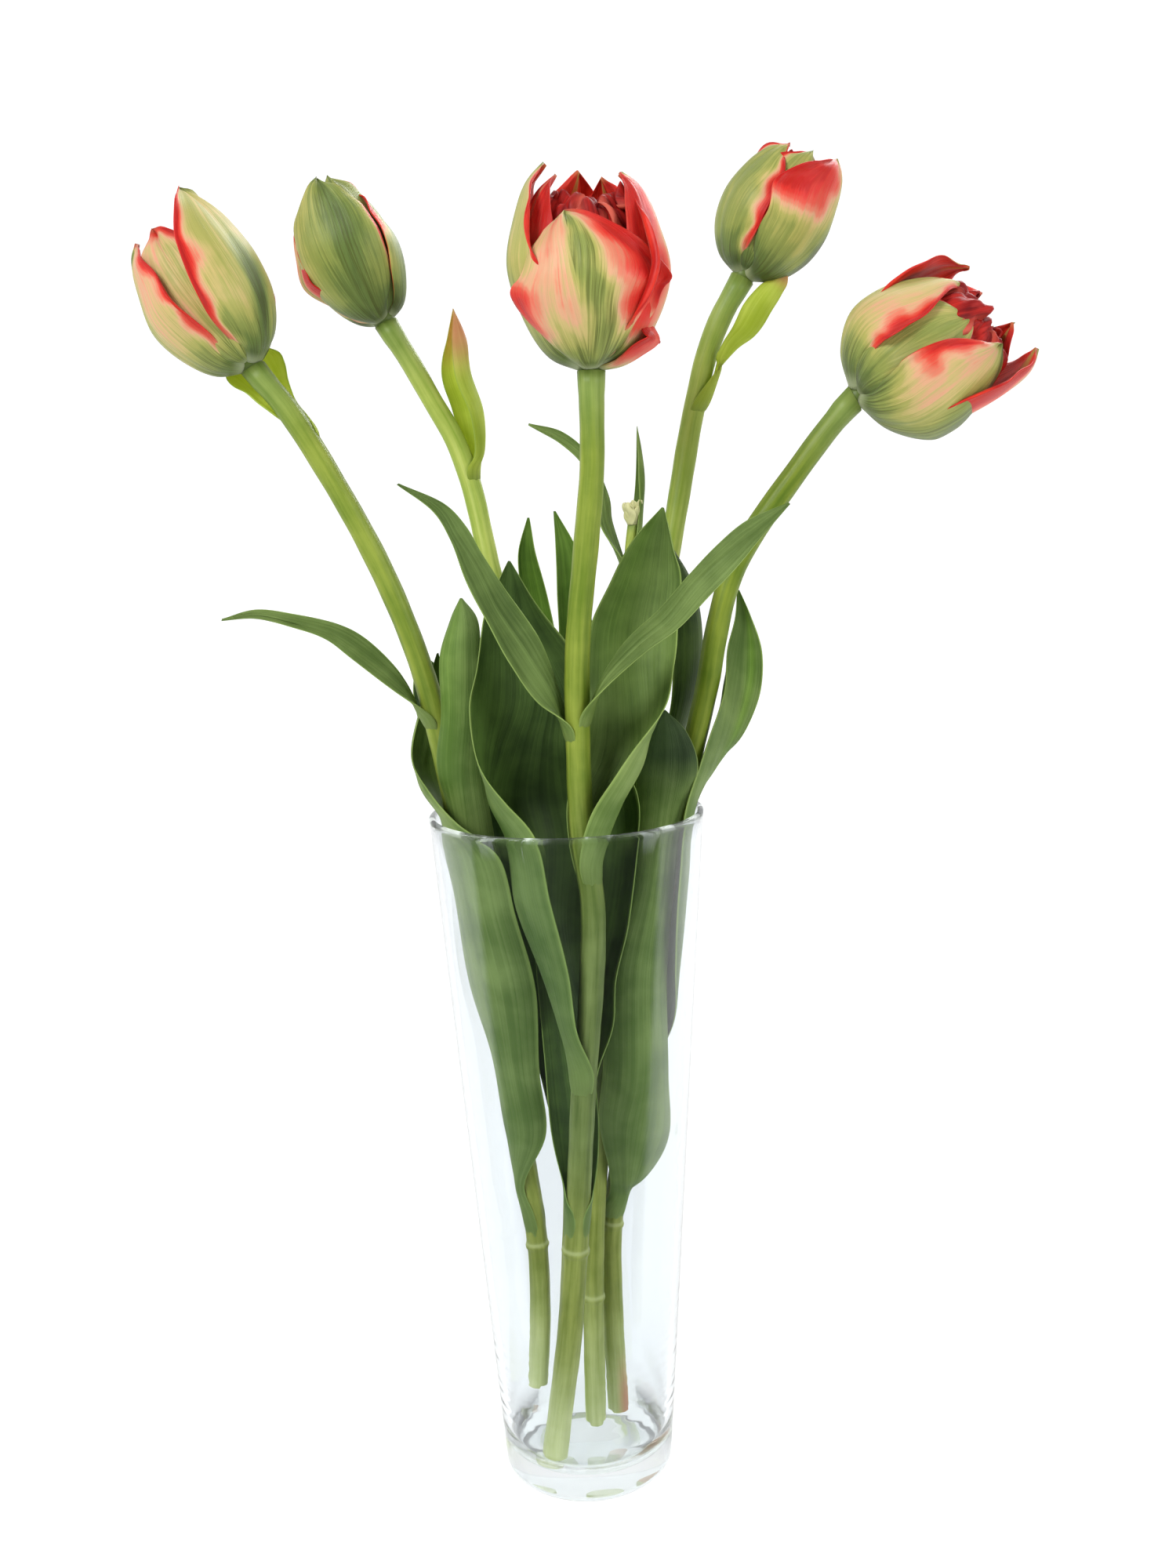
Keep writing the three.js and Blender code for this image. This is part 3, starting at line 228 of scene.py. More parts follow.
# A bloom has its reach from the axis for the outer and the inner petals, and its heart's reach,
# height, half width and number of petals. slim narrows the petals' feet. Each petal gives its turn,
# its height, its half width, the half width of its green flame, and how much of its left margin,
# right margin and top is red. lean bends it outwards, skew moves its tip towards the right margin,
# blunt widens or narrows its upper left and right sides, rough deepens its folds, and roll gives the
# share and the turn of each rolled margin, from roll_from up. at and drift say where the flame's
# middle lies, green how deep it is, and fade where along the petal it is gone and still whole. spans
# says where along the petal each margin is red. blush tints the rest: redder above 0, greener below.
BLOOMS = {
    "bloom_1": dict(
        stem="stem_1", axis=(-0.49, 0, 0.872), reach=(20.3, 18.4), slim=0.95, heart=(14, 42, 12, 9),
        outer=[
            petal(-30, 60, 23, 0.24, (0.2, 0, 0), lean=0.05, skew=3, rough=1.5, roll=((0.1, 80), (0, 0)),
                  at=0.04, drift=0.35, fade=(0.75, 0.35), blush=-0.1),
            petal(90, 53, 21, 0.5, (0.25, 0.25, 0)),
            petal(202, 52, 20, 0.5, (0.1, 0.22, 0.05), reach=22, slim=0.82, roll=((0, 0), (0.16, 110)),
                  at=-0.6, green=0.6, blush=0.02),
        ],
        inner=[
            petal(-92, 50, 17.5, 0.5, (0.25, 0.6, 0.1), skew=-2, at=0.1, drift=0.3, green=0.3,
                  spans=((0, 0.7), (0.5, 1.2)), blush=0.16),
            petal(30, 52, 17, 0.3, (0.5, 0.5, 0.2)),
            petal(150, 50, 17, 0.3, (0.5, 0.5, 0.2)),
        ],
    ),
    "bloom_2": dict(
        stem="stem_2", axis=(-0.42, 0, 0.907), reach=(17.6, 15.8), slim=0.84, heart=(11, 36, 10, 8),
        outer=[
            petal(-107, 53, 18, 0.7, (0, 0.04, 0), skew=5, at=0.3, green=0.5, spans=((0, 1), (0.3, 0.7)),
                  blush=-0.26),
            petal(5, 46, 13.5, 1.2, (0.35, 0.12, 0.15), reach=17, rough=1.2, roll=((0.12, 60), (0, 0)),
                  roll_from=0.4, at=0.4, green=0.5, spans=((0.5, 1.2), (0, 1)), blush=-0.3),
            petal(133, 50, 17.5, 1, (0.2, 0.2, 0), blush=-0.3),
        ],
        inner=[
            petal(-47, 50, 17.5, 1.2, (0.04, 0.1, 0), green=0.4, spans=((0.5, 1.2), (0, 1)), blush=-0.2),
            petal(73, 49, 15, 0.4, (0.4, 0.4, 0.3)),
            petal(192, 42, 7, 0.4, (0.8, 0.8, 0.3), reach=19.6, slim=0.6, rough=1.8, blush=0.7),
        ],
    ),
    "bloom_3": dict(
        stem="stem_3", axis=(0.02, 0, 1), reach=(25.4, 22.4), slim=0.82, heart=(19, 47, 15, 14),
        outer=[
            petal(-93, 46, 26, 0.24, (0.4, 0.6, 0), lean=0.1, skew=-7, blunt=(0.66, 1.4),
                  roll=((0.1, 40), (0.14, 110)), at=0.16, drift=-0.3, green=0.66,
                  spans=((0.1, 0.5), (0.25, 1.2)), blush=0.16),
            petal(-2, 58.5, 24, 0.5, (0.7, 0.1, 0), lean=-0.12, roll=((0.3, 115), (0, 0)), at=0.4,
                  green=0.5, spans=((0.1, 0.95), (0, 1)), blush=0.12),
            petal(178, 62, 24.5, 1.2, (0.1, 0.1, 0), lean=0.04, roll=((0, 0), (0.22, 110)), roll_from=0.4,
                  at=-0.2, green=0.35, blush=-0.05),
        ],
        inner=[
            petal(-32, 56, 11, 0.3, (0.8, 0.8, 0.5), green=0.3, blush=0.5),
            petal(108, 60, 18, 0.3, (0.7, 0.7, 0.2)),
            petal(70, 58, 16, 0.3, (0.7, 0.7, 0.2)),
            petal(205, 56, 13, 0.2, (0.8, 0.8, 0.5)),
        ],
        reflexed=[
            petal(-16, 16, 9, 0.2, (0.6, 0.5, 0.6), reach=21.5, slim=0.7, lean=0.06, rough=1.6, at=0.5,
                  green=0.3, blush=0.45),
        ],
    ),
    "bloom_4": dict(
        stem="stem_4", axis=(0.5, 0, 0.866), reach=(19.4, 17), slim=0.9, heart=(13, 40, 11, 9),
        outer=[
            petal(-38, 49.5, 22, 0.45, (1.2, 0, 0), skew=3, blunt=(1.3, 1.3), rough=1.3,
                  roll=((0.06, 50), (0, 0)), at=0.6, green=0.9, spans=((0.45, 1.2), (0, 1)), blush=-0.32),
            petal(88, 47, 20, 0.7, (0.2, 0.2, 0.1)),
            petal(200, 46, 19, 0.8, (0.2, 0.25, 0.06), skew=4, roll=((0, 0), (0.08, 60)), at=-0.1,
                  green=0.2, blush=-0.25),
        ],
        inner=[
            petal(-98, 45, 17, 0.8, (0.25, 0.1, 0), skew=2, at=0.2, green=0.2, spans=((0.35, 1.2), (0, 1)),
                  blush=-0.2),
            petal(30, 46, 16, 0.3, (0.6, 0.6, 0.4)),
            petal(150, 44, 16, 0.5, (0.4, 0.4, 0.3)),
        ],
    ),
    "bloom_5": dict(
        stem="stem_5", axis=(0.865, -0.12, 0.487), reach=(25.4, 22.4), slim=1, heart=(18, 43, 14, 14),
        outer=[
            petal(-48, 47, 25, 0.6, (0.34, 0.12, 0), roll=((0.06, 50), (0, 0)), at=0.5, green=0.75,
                  spans=((0.4, 0.85), (0, 1)), blush=0.02),
            petal(70, 50, 24, 0.5, (0.3, 0.3, 0.1)),
            petal(188, 46, 24, 0.6, (0.1, 0.22, 0), roll=((0, 0), (0.08, 60)), at=-0.5, green=0.5,
                  blush=0.02),
        ],
        inner=[
            petal(-108, 41, 19, 0.8, (0.12, 0.1, 0), green=0.22, blush=-0.15),
            petal(4, 56, 24, 0.3, (0.7, 0.4, 0), lean=0.26, roll=((0.12, 80), (0, 0)), at=0.2),
            petal(45, 54, 16, 0.3, (0.7, 0.4, 0), lean=-0.1),
            petal(128, 50, 19, 0.2, (0.8, 0.8, 0.4)),
        ],
        reflexed=[
            petal(150, 52, 17, 0.25, (0.7, 0.7, 0), reach=24, slim=0.8, lean=0.28,
                  roll=((0.2, 60), (0.2, 60)), spans=((0, 0.8), (0, 0.8)), blush=0.1),
        ],
    ),
}

# ---------- curves and surfaces ----------


def curve_through(points, shares):
    """Points of the centripetal Catmull-Rom curve through points, at shares from 0 to 1."""
    points = np.asarray(points, float)
    padded = np.vstack([2 * points[0] - points[1], points, 2 * points[-1] - points[-2]])
    place = np.clip(np.asarray(shares, float), 0, 1) * (len(points) - 1)
    index = np.minimum(place.astype(int), len(points) - 2)
    t = (place - index)[:, None]
    p0, p1, p2, p3 = (padded[index + k] for k in range(4))
    d0, d1, d2 = (np.sqrt(np.linalg.norm(step, axis=1))[:, None] for step in (p1 - p0, p2 - p1, p3 - p2))
    start = ((p1 - p0) / d0 - (p2 - p0) / (d0 + d1) + (p2 - p1) / d1) * d1
    end = ((p2 - p1) / d1 - (p3 - p1) / (d1 + d2) + (p3 - p2) / d2) * d1
    return p1 + start * t + (3 * (p2 - p1) - 2 * start - end) * t**2 + (2 * (p1 - p2) + start + end) * t**3


def smooth(low, high, value):
    """0 below low, 1 above high and a soft step between."""
    t = np.clip((value - low) / (high - low), 0, 1)
    return t * t * (3 - 2 * t)


def hump(value, middle, half):
    """1 at the middle, falling softly to both sides."""
    return np.exp(-(((value - middle) / half) ** 2))


def unit(vectors):
    return vectors / np.maximum(np.linalg.norm(vectors, axis=-1, keepdims=True), 1e-12)


def arc_grid(left, middle, right, across):
    """For each row, points at across (-1 to 1) of the circle through left, middle and right."""
    a, b = left - middle, right - middle
    normal = np.cross(a, b)
    area = np.sum(normal * normal, axis=1, keepdims=True)
    aa = np.sum(a * a, axis=1, keepdims=True)
    bb = np.sum(b * b, axis=1, keepdims=True)
    centre = middle + np.cross(b * aa - a * bb, normal) / np.maximum(2 * area, 1e-9)
    start = middle - centre
    flat = area < 1e-3 * aa * bb
    rows = np.empty((len(middle), len(across), 3))
    for j, v in enumerate(across):
        end = (left if v < 0 else right) - centre
        axis = unit(np.cross(start, end))
        lengths = np.linalg.norm(start, axis=1) * np.linalg.norm(end, axis=1)
        cosine = np.clip(np.sum(start * end, axis=1) / np.maximum(lengths, 1e-9), -1, 1)
        angle = (np.arccos(cosine) * abs(v))[:, None]
        turned = start * np.cos(angle) + np.cross(axis, start) * np.sin(angle)
        straight = middle + (b - a) * v / 2 + (a + b) * 0.5 * v * v
        rows[:, j] = np.where(flat, straight, centre + turned)
    return rows


def normals_of(grid):
    return unit(np.cross(np.gradient(grid, axis=0), np.gradient(grid, axis=1)))


def lathe(profile, sides):
    """Rings of points about Z, one for each (radius, height) of the profile."""
    radii, rises = np.array(profile, float).T[..., None]
    angle = 2 * np.pi * np.arange(sides) / sides
    return np.stack(np.broadcast_arrays(radii * np.cos(angle), radii * np.sin(angle), rises), axis=-1)


# ---------- meshes ----------


def link(name, data):
    thing = bpy.data.objects.new(name, data)
    bpy.context.scene.collection.objects.link(thing)
    return thing


class Mesh:
    """Gathers closed bodies, with the same named values at each point, into one mesh."""

    def __init__(self):
        self.points = []
        self.faces = []
        self.values = {}
        self.count = 0

    def add(self, points, faces, values):
        self.faces += [tuple(k + self.count for k in face) for face in faces]
        self.points.append(np.asarray(points, float).reshape(-1, 3))
        for name, value in values.items():
            flat = np.broadcast_to(np.asarray(value, float), (len(self.points[-1]),)).ravel()
            self.values.setdefault(name, []).append(flat)
        self.count += len(self.points[-1])

    def piece(self, name, node, slot, material):
        """Makes the object that stands for the CAD node."""
        mesh = bpy.data.meshes.new(name)
        mesh.from_pydata((np.vstack(self.points) * MM).tolist(), [], self.faces)
        for key, parts in self.values.items():
            attribute = mesh.attributes.new(key, "FLOAT", "POINT")
            attribute.data.foreach_set("value", np.concatenate(parts).astype(np.float32))
        mesh.shade_smooth()
        mesh.update()
        mesh.materials.append(material)
        piece = link(name, mesh)
        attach(piece, "root")
        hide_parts(node)


def blade_faces(rows, columns):
    """Faces of a closed blade: its front points, then its back points, and a rim between."""
    index = np.arange(rows * columns).reshape(rows, columns)
    a, b, c, d = index[:-1, :-1], index[:-1, 1:], index[1:, 1:], index[1:, :-1]
    rim = np.concatenate([index[0], index[1:, -1], index[-1, -2::-1], index[-2:0:-1, 0]])
    beside = np.roll(rim, -1)
    half = index.size
    quads = ((b, c, d, a), (half + d, half + c, half + b, half + a), (half + rim, half + beside, beside, rim))
    return [face for corners in quads for face in np.stack(corners, axis=-1).reshape(-1, 4).tolist()]


def add_blade(mesh, grid, thickness, back_is_inner, values):
    """A thin blade about a grid of points. Its front is on the grid normals' side."""
    shape = grid.shape[:2]
    offset = normals_of(grid) * (thickness / 2)[..., None]
    points = np.stack([grid + offset, grid - offset])
    front = np.zeros(grid[..., 0].size)
    inner = np.concatenate([front, front + 1] if back_is_inner else [front + 1, front])
    both = {name: np.tile(np.broadcast_to(value, shape).ravel(), 2) for name, value in values.items()}
    mesh.add(points, blade_faces(*shape), {**both, "inner": inner})


def ring_faces(count, sides, first=0):
    """Quads between rings of points, the first of which starts at point first."""
    index = first + np.arange(count * sides).reshape(count, sides)
    beside = np.roll(index, -1, axis=1)
    return np.stack([index[:-1], beside[:-1], beside[1:], index[1:]], axis=-1).reshape(-1, 4).tolist()


def add_tube(mesh, rings, values):
    """A closed skin over rings of points, with a flat face at each end."""
    count, sides = rings.shape[:2]
    ends = [tuple(reversed(range(sides))), tuple(range((count - 1) * sides, count * sides))]
    mesh.add(rings, ring_faces(count, sides) + ends, values)


# ---------- node trees ----------


def colour(red, green, blue):
    """A colour given as it looks on a screen, 0 to 255, in the light values that shaders take."""
    shares = np.array([red, green, blue]) / 255
    linear = np.where(shares <= 0.04045, shares / 12.92, ((shares + 0.055) / 1.055) ** 2.4)
    return (*linear.tolist(), 1.0)


class Wire:
    """A node's output. What it makes with a wire or a number is a Math node's output."""

    def __init__(self, shade, socket):
        self.shade = shade
        self.socket = socket

    def __add__(self, other):
        return self.shade.math("ADD", self, other)

    def __sub__(self, other):
        return self.shade.math("SUBTRACT", self, other)

    def __mul__(self, other):
        return self.shade.math("MULTIPLY", self, other)


class Shade:
    """The node tree of a material or of the world."""

    def __init__(self, owner):
        owner.use_nodes = True
        self.owner = owner
        self.tree = owner.node_tree
        self.tree.nodes.clear()

    def out(self, kind, inputs, output=0, **settings):
        """One output of a new node, which has these values or wires on its inputs."""
        node = self.tree.nodes.new("ShaderNode" + kind)
        for key, value in settings.items():
            setattr(node, key, value)
        for key, value in inputs.items():
            self.feed(node.inputs[key], value)
        return Wire(self, node.outputs[output])

    def feed(self, socket, value):
        if isinstance(value, Wire):
            self.tree.links.new(value.socket, socket)
        else:
            socket.default_value = value

    def show(self, surface, kind="Material"):
        output = self.tree.nodes.new(f"ShaderNodeOutput{kind}")
        self.feed(output.inputs["Surface"], surface)
        return self.owner

    def away(self, space):
        """Y of each point of the object, or of each direction of the world."""
        return self.out("SeparateXYZ", {0: self.out("TexCoord", {}, space)}, "Y")

    def values(self, *names):
        """The mesh's own values at each point."""
        return [self.out("Attribute", {}, "Fac", attribute_name=name) for name in names]

    def math(self, operation, a, b=0.0):
        return self.out("Math", {0: a, 1: b}, operation=operation)

    def step(self, value, low, high):
        ends = {"From Min": low, "From Max": high}
        return self.out("MapRange", {"Value": value, **ends}, "Result", interpolation_type="SMOOTHSTEP")

    def mix(self, share, a, b):
        return self.out("Mix", {"Factor": share, 6: a, 7: b}, 2, data_type="RGBA", clamp_factor=True)

    def tint(self, share, a, b):
        """From one screen colour to another."""
        return self.mix(share, colour(*a), colour(*b))

    def ramp(self, share, stops):
        wire = self.out("ValToRGB", {"Fac": share}, "Color")
        bar = wire.socket.node.color_ramp
        bar.interpolation = "EASE"
        while len(bar.elements) < len(stops):
            bar.elements.new(0.5)
        for element, (place, shown) in zip(bar.elements, stops):
            element.position = place
            element.color = colour(*shown)
        return wire

    def noise(self, x, y, z, detail=3.0, rough=0.55):
        place = self.out("CombineXYZ", {0: x, 1: y, 2: z})
        kind = {"Scale": 1.0, "Detail": detail, "Roughness": rough}
        return self.out("TexNoise", {"Vector": place, **kind}, "Fac")

    def speckle(self, scale, detail=2.0):
        """Noise in the object's own space."""
        place = self.out("TexCoord", {}, "Object")
        return self.out("TexNoise", {"Vector": place, "Scale": scale, "Detail": detail}, "Fac")

    def sum(self, first, *others):
        """The sum of (noise, weight) pairs, each noise counted from its middle."""
        total = (first[0] - 0.5) * first[1]
        for noise, weight in others:
            total = total + (noise - 0.5) * weight
        return total

    def bump(self, height, depth, strength):
        return self.out("Bump", {"Strength": strength, "Distance": depth, "Height": height})

    def surface(self, base, rough, **inputs):
        named = {name.replace("_", " "): value for name, value in inputs.items()}
        return self.out("BsdfPrincipled", {"Base Color": base, "Roughness": rough, **named})

    def join(self, share, a, b):
        return self.out("MixShader", {0: share, 1: a, 2: b})

    def thin(self, share, glow, *surface, **inputs):
        """A surface that lets a share of the light through, as a thin leaf does."""
        behind = self.out("BsdfTranslucent", {"Color": glow})
        return self.show(self.join(share, self.surface(*surface, **inputs), behind))


# ---------- materials ----------

# Screen colours of the outer petals, from dark olive through cream to deep red.
PETAL_RAMP = [
    (0.0, (76, 97, 46)), (0.14, (106, 128, 62)), (0.28, (146, 159, 80)), (0.4, (182, 181, 98)),
    (0.5, (212, 192, 124)), (0.58, (232, 178, 138)), (0.68, (236, 134, 106)), (0.8, (234, 82, 64)),
    (0.92, (226, 44, 36)), (1.0, (200, 24, 22)),
]
# Where a leaf has the value, its two tints, and how strong they are. lit paints a stripe of light, deep
# paints shade and blush is the leaf's own pink.
LEAF_TINTS = {
    "lit": (0.8, (88, 128, 30), (132, 170, 62)),
    "deep": (0.9, (36, 56, 34), (66, 90, 56)),
    "blush": (0.85, (214, 120, 104), (236, 178, 146)),
}
LEAF_SHINE = 0.3
GLASS_IOR = 1.45


def leaf_material(name, through, lit):
    """Parallel veins, a dark inner face, a grey-green outer one and a thin margin painted pale, as lit
    through.
    """
    s = Shade(bpy.data.materials.new(name))
    across, along, inner, tone, seed = s.values("across", "along", "inner", "tone", "seed")
    wide = s.noise(across * 5.0, along * 1.6, seed)
    veins = s.noise(across * 24.0, along * 1.2, seed, 4.0)
    fine = s.noise(across * 75.0, along * 2.0, seed, 2.0)
    pattern = s.sum((veins, 0.6), (wide, 0.9), (fine, 0.5), (s.speckle(60.0, 3.0), 1.4))
    share = s.step(pattern, -0.42, 0.45)
    dark = s.tint(share, (38, 62, 26), (80, 112, 48))
    grey = s.tint(share, (78, 108, 48), (122, 148, 82))
    pale = s.tint(share, (112, 140, 62), (158, 180, 102))
    lime = s.tint(share, (142, 164, 40), (190, 204, 88))
    # bright paints the glow of a backlit bract, which is painted light over its lime.
    bright = s.tint(share, (196, 212, 70), (226, 236, 128))
    shaded = s.tint(share, (44, 66, 24), (84, 108, 50))
    to_lime, to_bright = s.step(tone, 1.0, 2.0), s.step(tone, 2.0, 3.0)
    outer = s.mix(to_bright, s.mix(to_lime, s.mix(tone, grey, pale), lime), bright)
    # A tone below 0 paints the leaf in shade.
    outer = s.mix(s.step(tone, 0.0, -1.0), outer, shaded)
    inside = s.mix(to_lime, s.mix(tone * 0.7, dark, pale), s.mix(to_bright, lime, bright))
    face = s.mix(inner, outer, inside)
    # lit paints a stripe of light and deep paints shade. blush is the leaf's own pink.
    for value, (strength, low, high) in LEAF_TINTS.items():
        face = s.mix(s.values(value)[0] * strength, face, s.tint(share, low, high))
    face = s.mix(s.step(along, 0.2, 0.0) * 0.6, face, colour(138, 158, 84))
    # Painted light: the thin margin is painted pale, as light shines through the thin edge.
    face = s.mix(s.step(s.math("ABSOLUTE", across), 0.94, 1.0) * 0.6, face, colour(166, 192, 104))
    relief = s.bump(s.sum((veins, 1.0), (fine, 0.6)), 0.00035, 0.7)
    return s.thin(through, s.mix(0.5, face, lit), face, veins * 0.25 + 0.38, Normal=relief,
                  Specular_IOR_Level=LEAF_SHINE)


def stem_material():
    """Bright green above, paler and fibrous below, and a pale cut end."""
    s = Shade(bpy.data.materials.new("stem"))
    around, along, inner, seed, tone = s.values("around", "along", "inner", "seed", "tone")
    scar, brown = s.values("scar", "brown")
    turned = around * 6.2832
    cosine = s.math("COSINE", turned)
    fibres = s.noise(cosine * 2.2, s.math("SINE", turned) * 2.2, along * 9.0 + seed, 7.0, 0.62)
    cloud = s.speckle(70.0, 4.0)
    pattern = s.step(s.sum((fibres, 1.3), (cloud, 0.8)), -0.5, 0.5)
    deep = s.tint(pattern, (80, 108, 14), (136, 152, 44))
    # A low tone is deep green. On stem_5 it is in part painted shade.
    upper = s.mix(tone, deep, s.tint(pattern, (128, 156, 50), (186, 198, 98)))
    body = s.mix(s.step(along, 0.48, 0.72), s.tint(pattern, (84, 104, 42), (140, 156, 88)), upper)
    body = s.mix(s.step(along, 0.34, 0.2), body, s.tint(pattern, (108, 122, 38), (172, 180, 90)))
    body = s.mix(s.step(along, 0.16, 0.0), body, s.tint(pattern, (166, 180, 98), (212, 220, 158)))
    body = s.mix(scar * 0.6, body, colour(206, 212, 150))
    rusty = brown * s.step(along, 0.08, 0.01) * s.step(cosine, -0.3, 0.8)
    body = s.mix(rusty, body, colour(178, 116, 72))
    body = s.mix(s.step(along, 0.93, 1.0), body, s.tint(pattern, (108, 134, 54), (154, 172, 92)))
    body = s.mix(inner, body, s.tint(brown, (222, 228, 184), (186, 140, 92)))
    relief = s.bump(s.sum((fibres, 1.0), (cloud, 0.4)), 0.0004, 0.6)
    return s.thin(0.1, s.mix(0.5, body, colour(170, 195, 40)), body, 0.42, Normal=relief,
                  Specular_IOR_Level=LEAF_SHINE)


def petal_material():
    """Green flames, cream beside them and coral-red margins, drawn out in fine streaks."""
    s = Shade(bpy.data.materials.new("petal"))
    across, along, inner, green, red, seed = s.values("across", "along", "inner", "green", "red", "seed")
    slant = s.math("ABSOLUTE", across) - along * 0.3
    side = across * 1.5 + seed
    wide = s.noise(slant * 4.0, along * 2.0, side, 4.0)
    streak = s.noise(slant * 20.0, along * 1.7, side, 5.0)
    fine = s.noise(slant * 90.0, along * 3.0, side, 2.0)
    cloud = s.speckle(110.0, 3.0)
    ripe = (red - green) * 0.5 + 0.5
    wobble = s.sum((wide, 0.36), (streak, 0.26), (fine, 0.1), (cloud, 0.16))
    outer = s.ramp(ripe + wobble, PETAL_RAMP)
    veins = s.step(s.sum((streak, 1.0), (fine, 0.8)), 0.12, -0.25)
    outer = s.mix(veins * (s.step(green, 0.15, 0.6) * 0.6 + 0.12), outer, colour(82, 86, 30))
    outer = s.mix(s.step(along, 0.1, 0.0) * 0.8, outer, colour(182, 192, 152))
    blood = s.tint(s.step(s.sum((streak, 1.0), (cloud, 1.0)), -0.3, 0.3), (184, 18, 16), (238, 62, 44))
    inside = s.mix(s.step(along, 0.3, 0.05), blood, colour(222, 180, 90))
    tip = s.step(along, 0.72, 0.98) * s.step(green, 0.25, 0.9)
    base = s.mix(inner, outer, s.mix(tip * 0.85, inside, colour(188, 178, 92)))
    relief = s.bump(s.sum((streak, 1.0), (fine, 0.5), (cloud, 0.4)), 0.0003, 0.7)
    return s.thin(0.16, s.mix(0.3, base, colour(250, 120, 60)), base, 0.42, Normal=relief,
                  Specular_IOR_Level=LEAF_SHINE, Sheen_Weight=0.12, Sheen_Roughness=0.4,
                  Sheen_Tint=(0.9, 0.9, 0.75, 1))


def heart_material():
    """Crumpled inner petals, coral on their edges and dark red in their folds."""
    s = Shade(bpy.data.materials.new("heart"))
    across, along, seed = s.values("across", "along", "seed")
    streak = s.noise(across * 16.0, along * 2.0, seed, 4.0)
    pattern = s.sum((streak, 1.0), (s.speckle(140.0, 3.0), 1.0))
    red = s.tint(s.step(pattern, -0.3, 0.35), (120, 14, 18), (206, 44, 36))
    pale = s.mix(s.step(across, 0.6, 1.0), red, colour(222, 104, 84))
    base = s.mix(s.step(along, 0.35, 0.0), pale, colour(196, 160, 90))
    return s.thin(0.18, s.mix(0.3, base, colour(230, 60, 40)), base, 0.5,
                  Normal=s.bump(pattern, 0.0004, 0.8), Specular_IOR_Level=0.2)


def bud_material():
    """Pale, crumpled and matt."""
    s = Shade(bpy.data.materials.new("bud"))
    cloud = s.speckle(300.0, 3.0)
    base = s.tint(cloud, (206, 206, 132), (236, 232, 190))
    return s.thin(0.15, base, base, 0.55, Normal=s.bump(cloud, 0.0004, 0.8))


def glass_material():
    """Clear glass. Light that falls on the flowers passes straight through, as in thin walls."""
    s = Shade(bpy.data.materials.new("glass"))
    tint = s.mix(s.speckle(14.0), (0.84, 0.875, 0.895, 1), (0.9, 0.925, 0.94, 1))
    thin, rim = s.values("thin", "rim")
    # Painted highlight: the rim's bright line and its glints are light given off by the glass itself.
    glint = rim * (s.step(s.speckle(110.0, 3.0), 0.5, 0.62) + 0.04)
    surface = s.surface(tint, 0.0, IOR=GLASS_IOR, Transmission_Weight=1.0,
                        Emission_Color=(0.94, 1.0, 0.97, 1), Emission_Strength=glint)
    clear = s.out("BsdfTransparent", {"Color": (0.93, 0.955, 0.95, 1)})
    shadow, diffuse = (s.out("LightPath", {}, f"Is {kind} Ray") for kind in ("Shadow", "Diffuse"))
    passed = s.math("MAXIMUM", s.math("MAXIMUM", shadow, diffuse), thin)
    return s.show(s.join(passed, surface, clear))


LEAF = leaf_material("leaf", 0.22, colour(140, 180, 20))
BRACT = leaf_material("bract", 0.5, colour(232, 240, 130))
STEM = stem_material()
PETAL = petal_material()
HEART = heart_material()
BUD = bud_material()
GLASS = glass_material()

# ---------- stems ----------

STEM_SIDES = 28
STEM_RINGS = 120
AXIS_SAMPLES = 4000
SCAR_SWELL = 0.6
NECK_LENGTH = 7


def stem_axis(stem, heights):
    """The points of a stem's axis at heights, and its direction there."""
    line = curve_through(stem["path"], np.linspace(0, 1, AXIS_SAMPLES))
    turns = unit(np.gradient(line, axis=0))
    place, turn = (np.stack([np.interp(heights, line[:, 2], values[:, k]) for k in range(3)], axis=1)
                   for values in (line, turns))
    return place, unit(turn)


def stem_radius(stem, heights):
    first, last = stem["path"][0][2], stem["path"][-1][2]
    low, high = stem["radius"]
    radius = low + (high - low) * (np.asarray(heights, float) - first) / (last - first)
    for scar in stem["scars"]:
        radius = radius + SCAR_SWELL * hump(heights, scar, 1.1)
    return radius


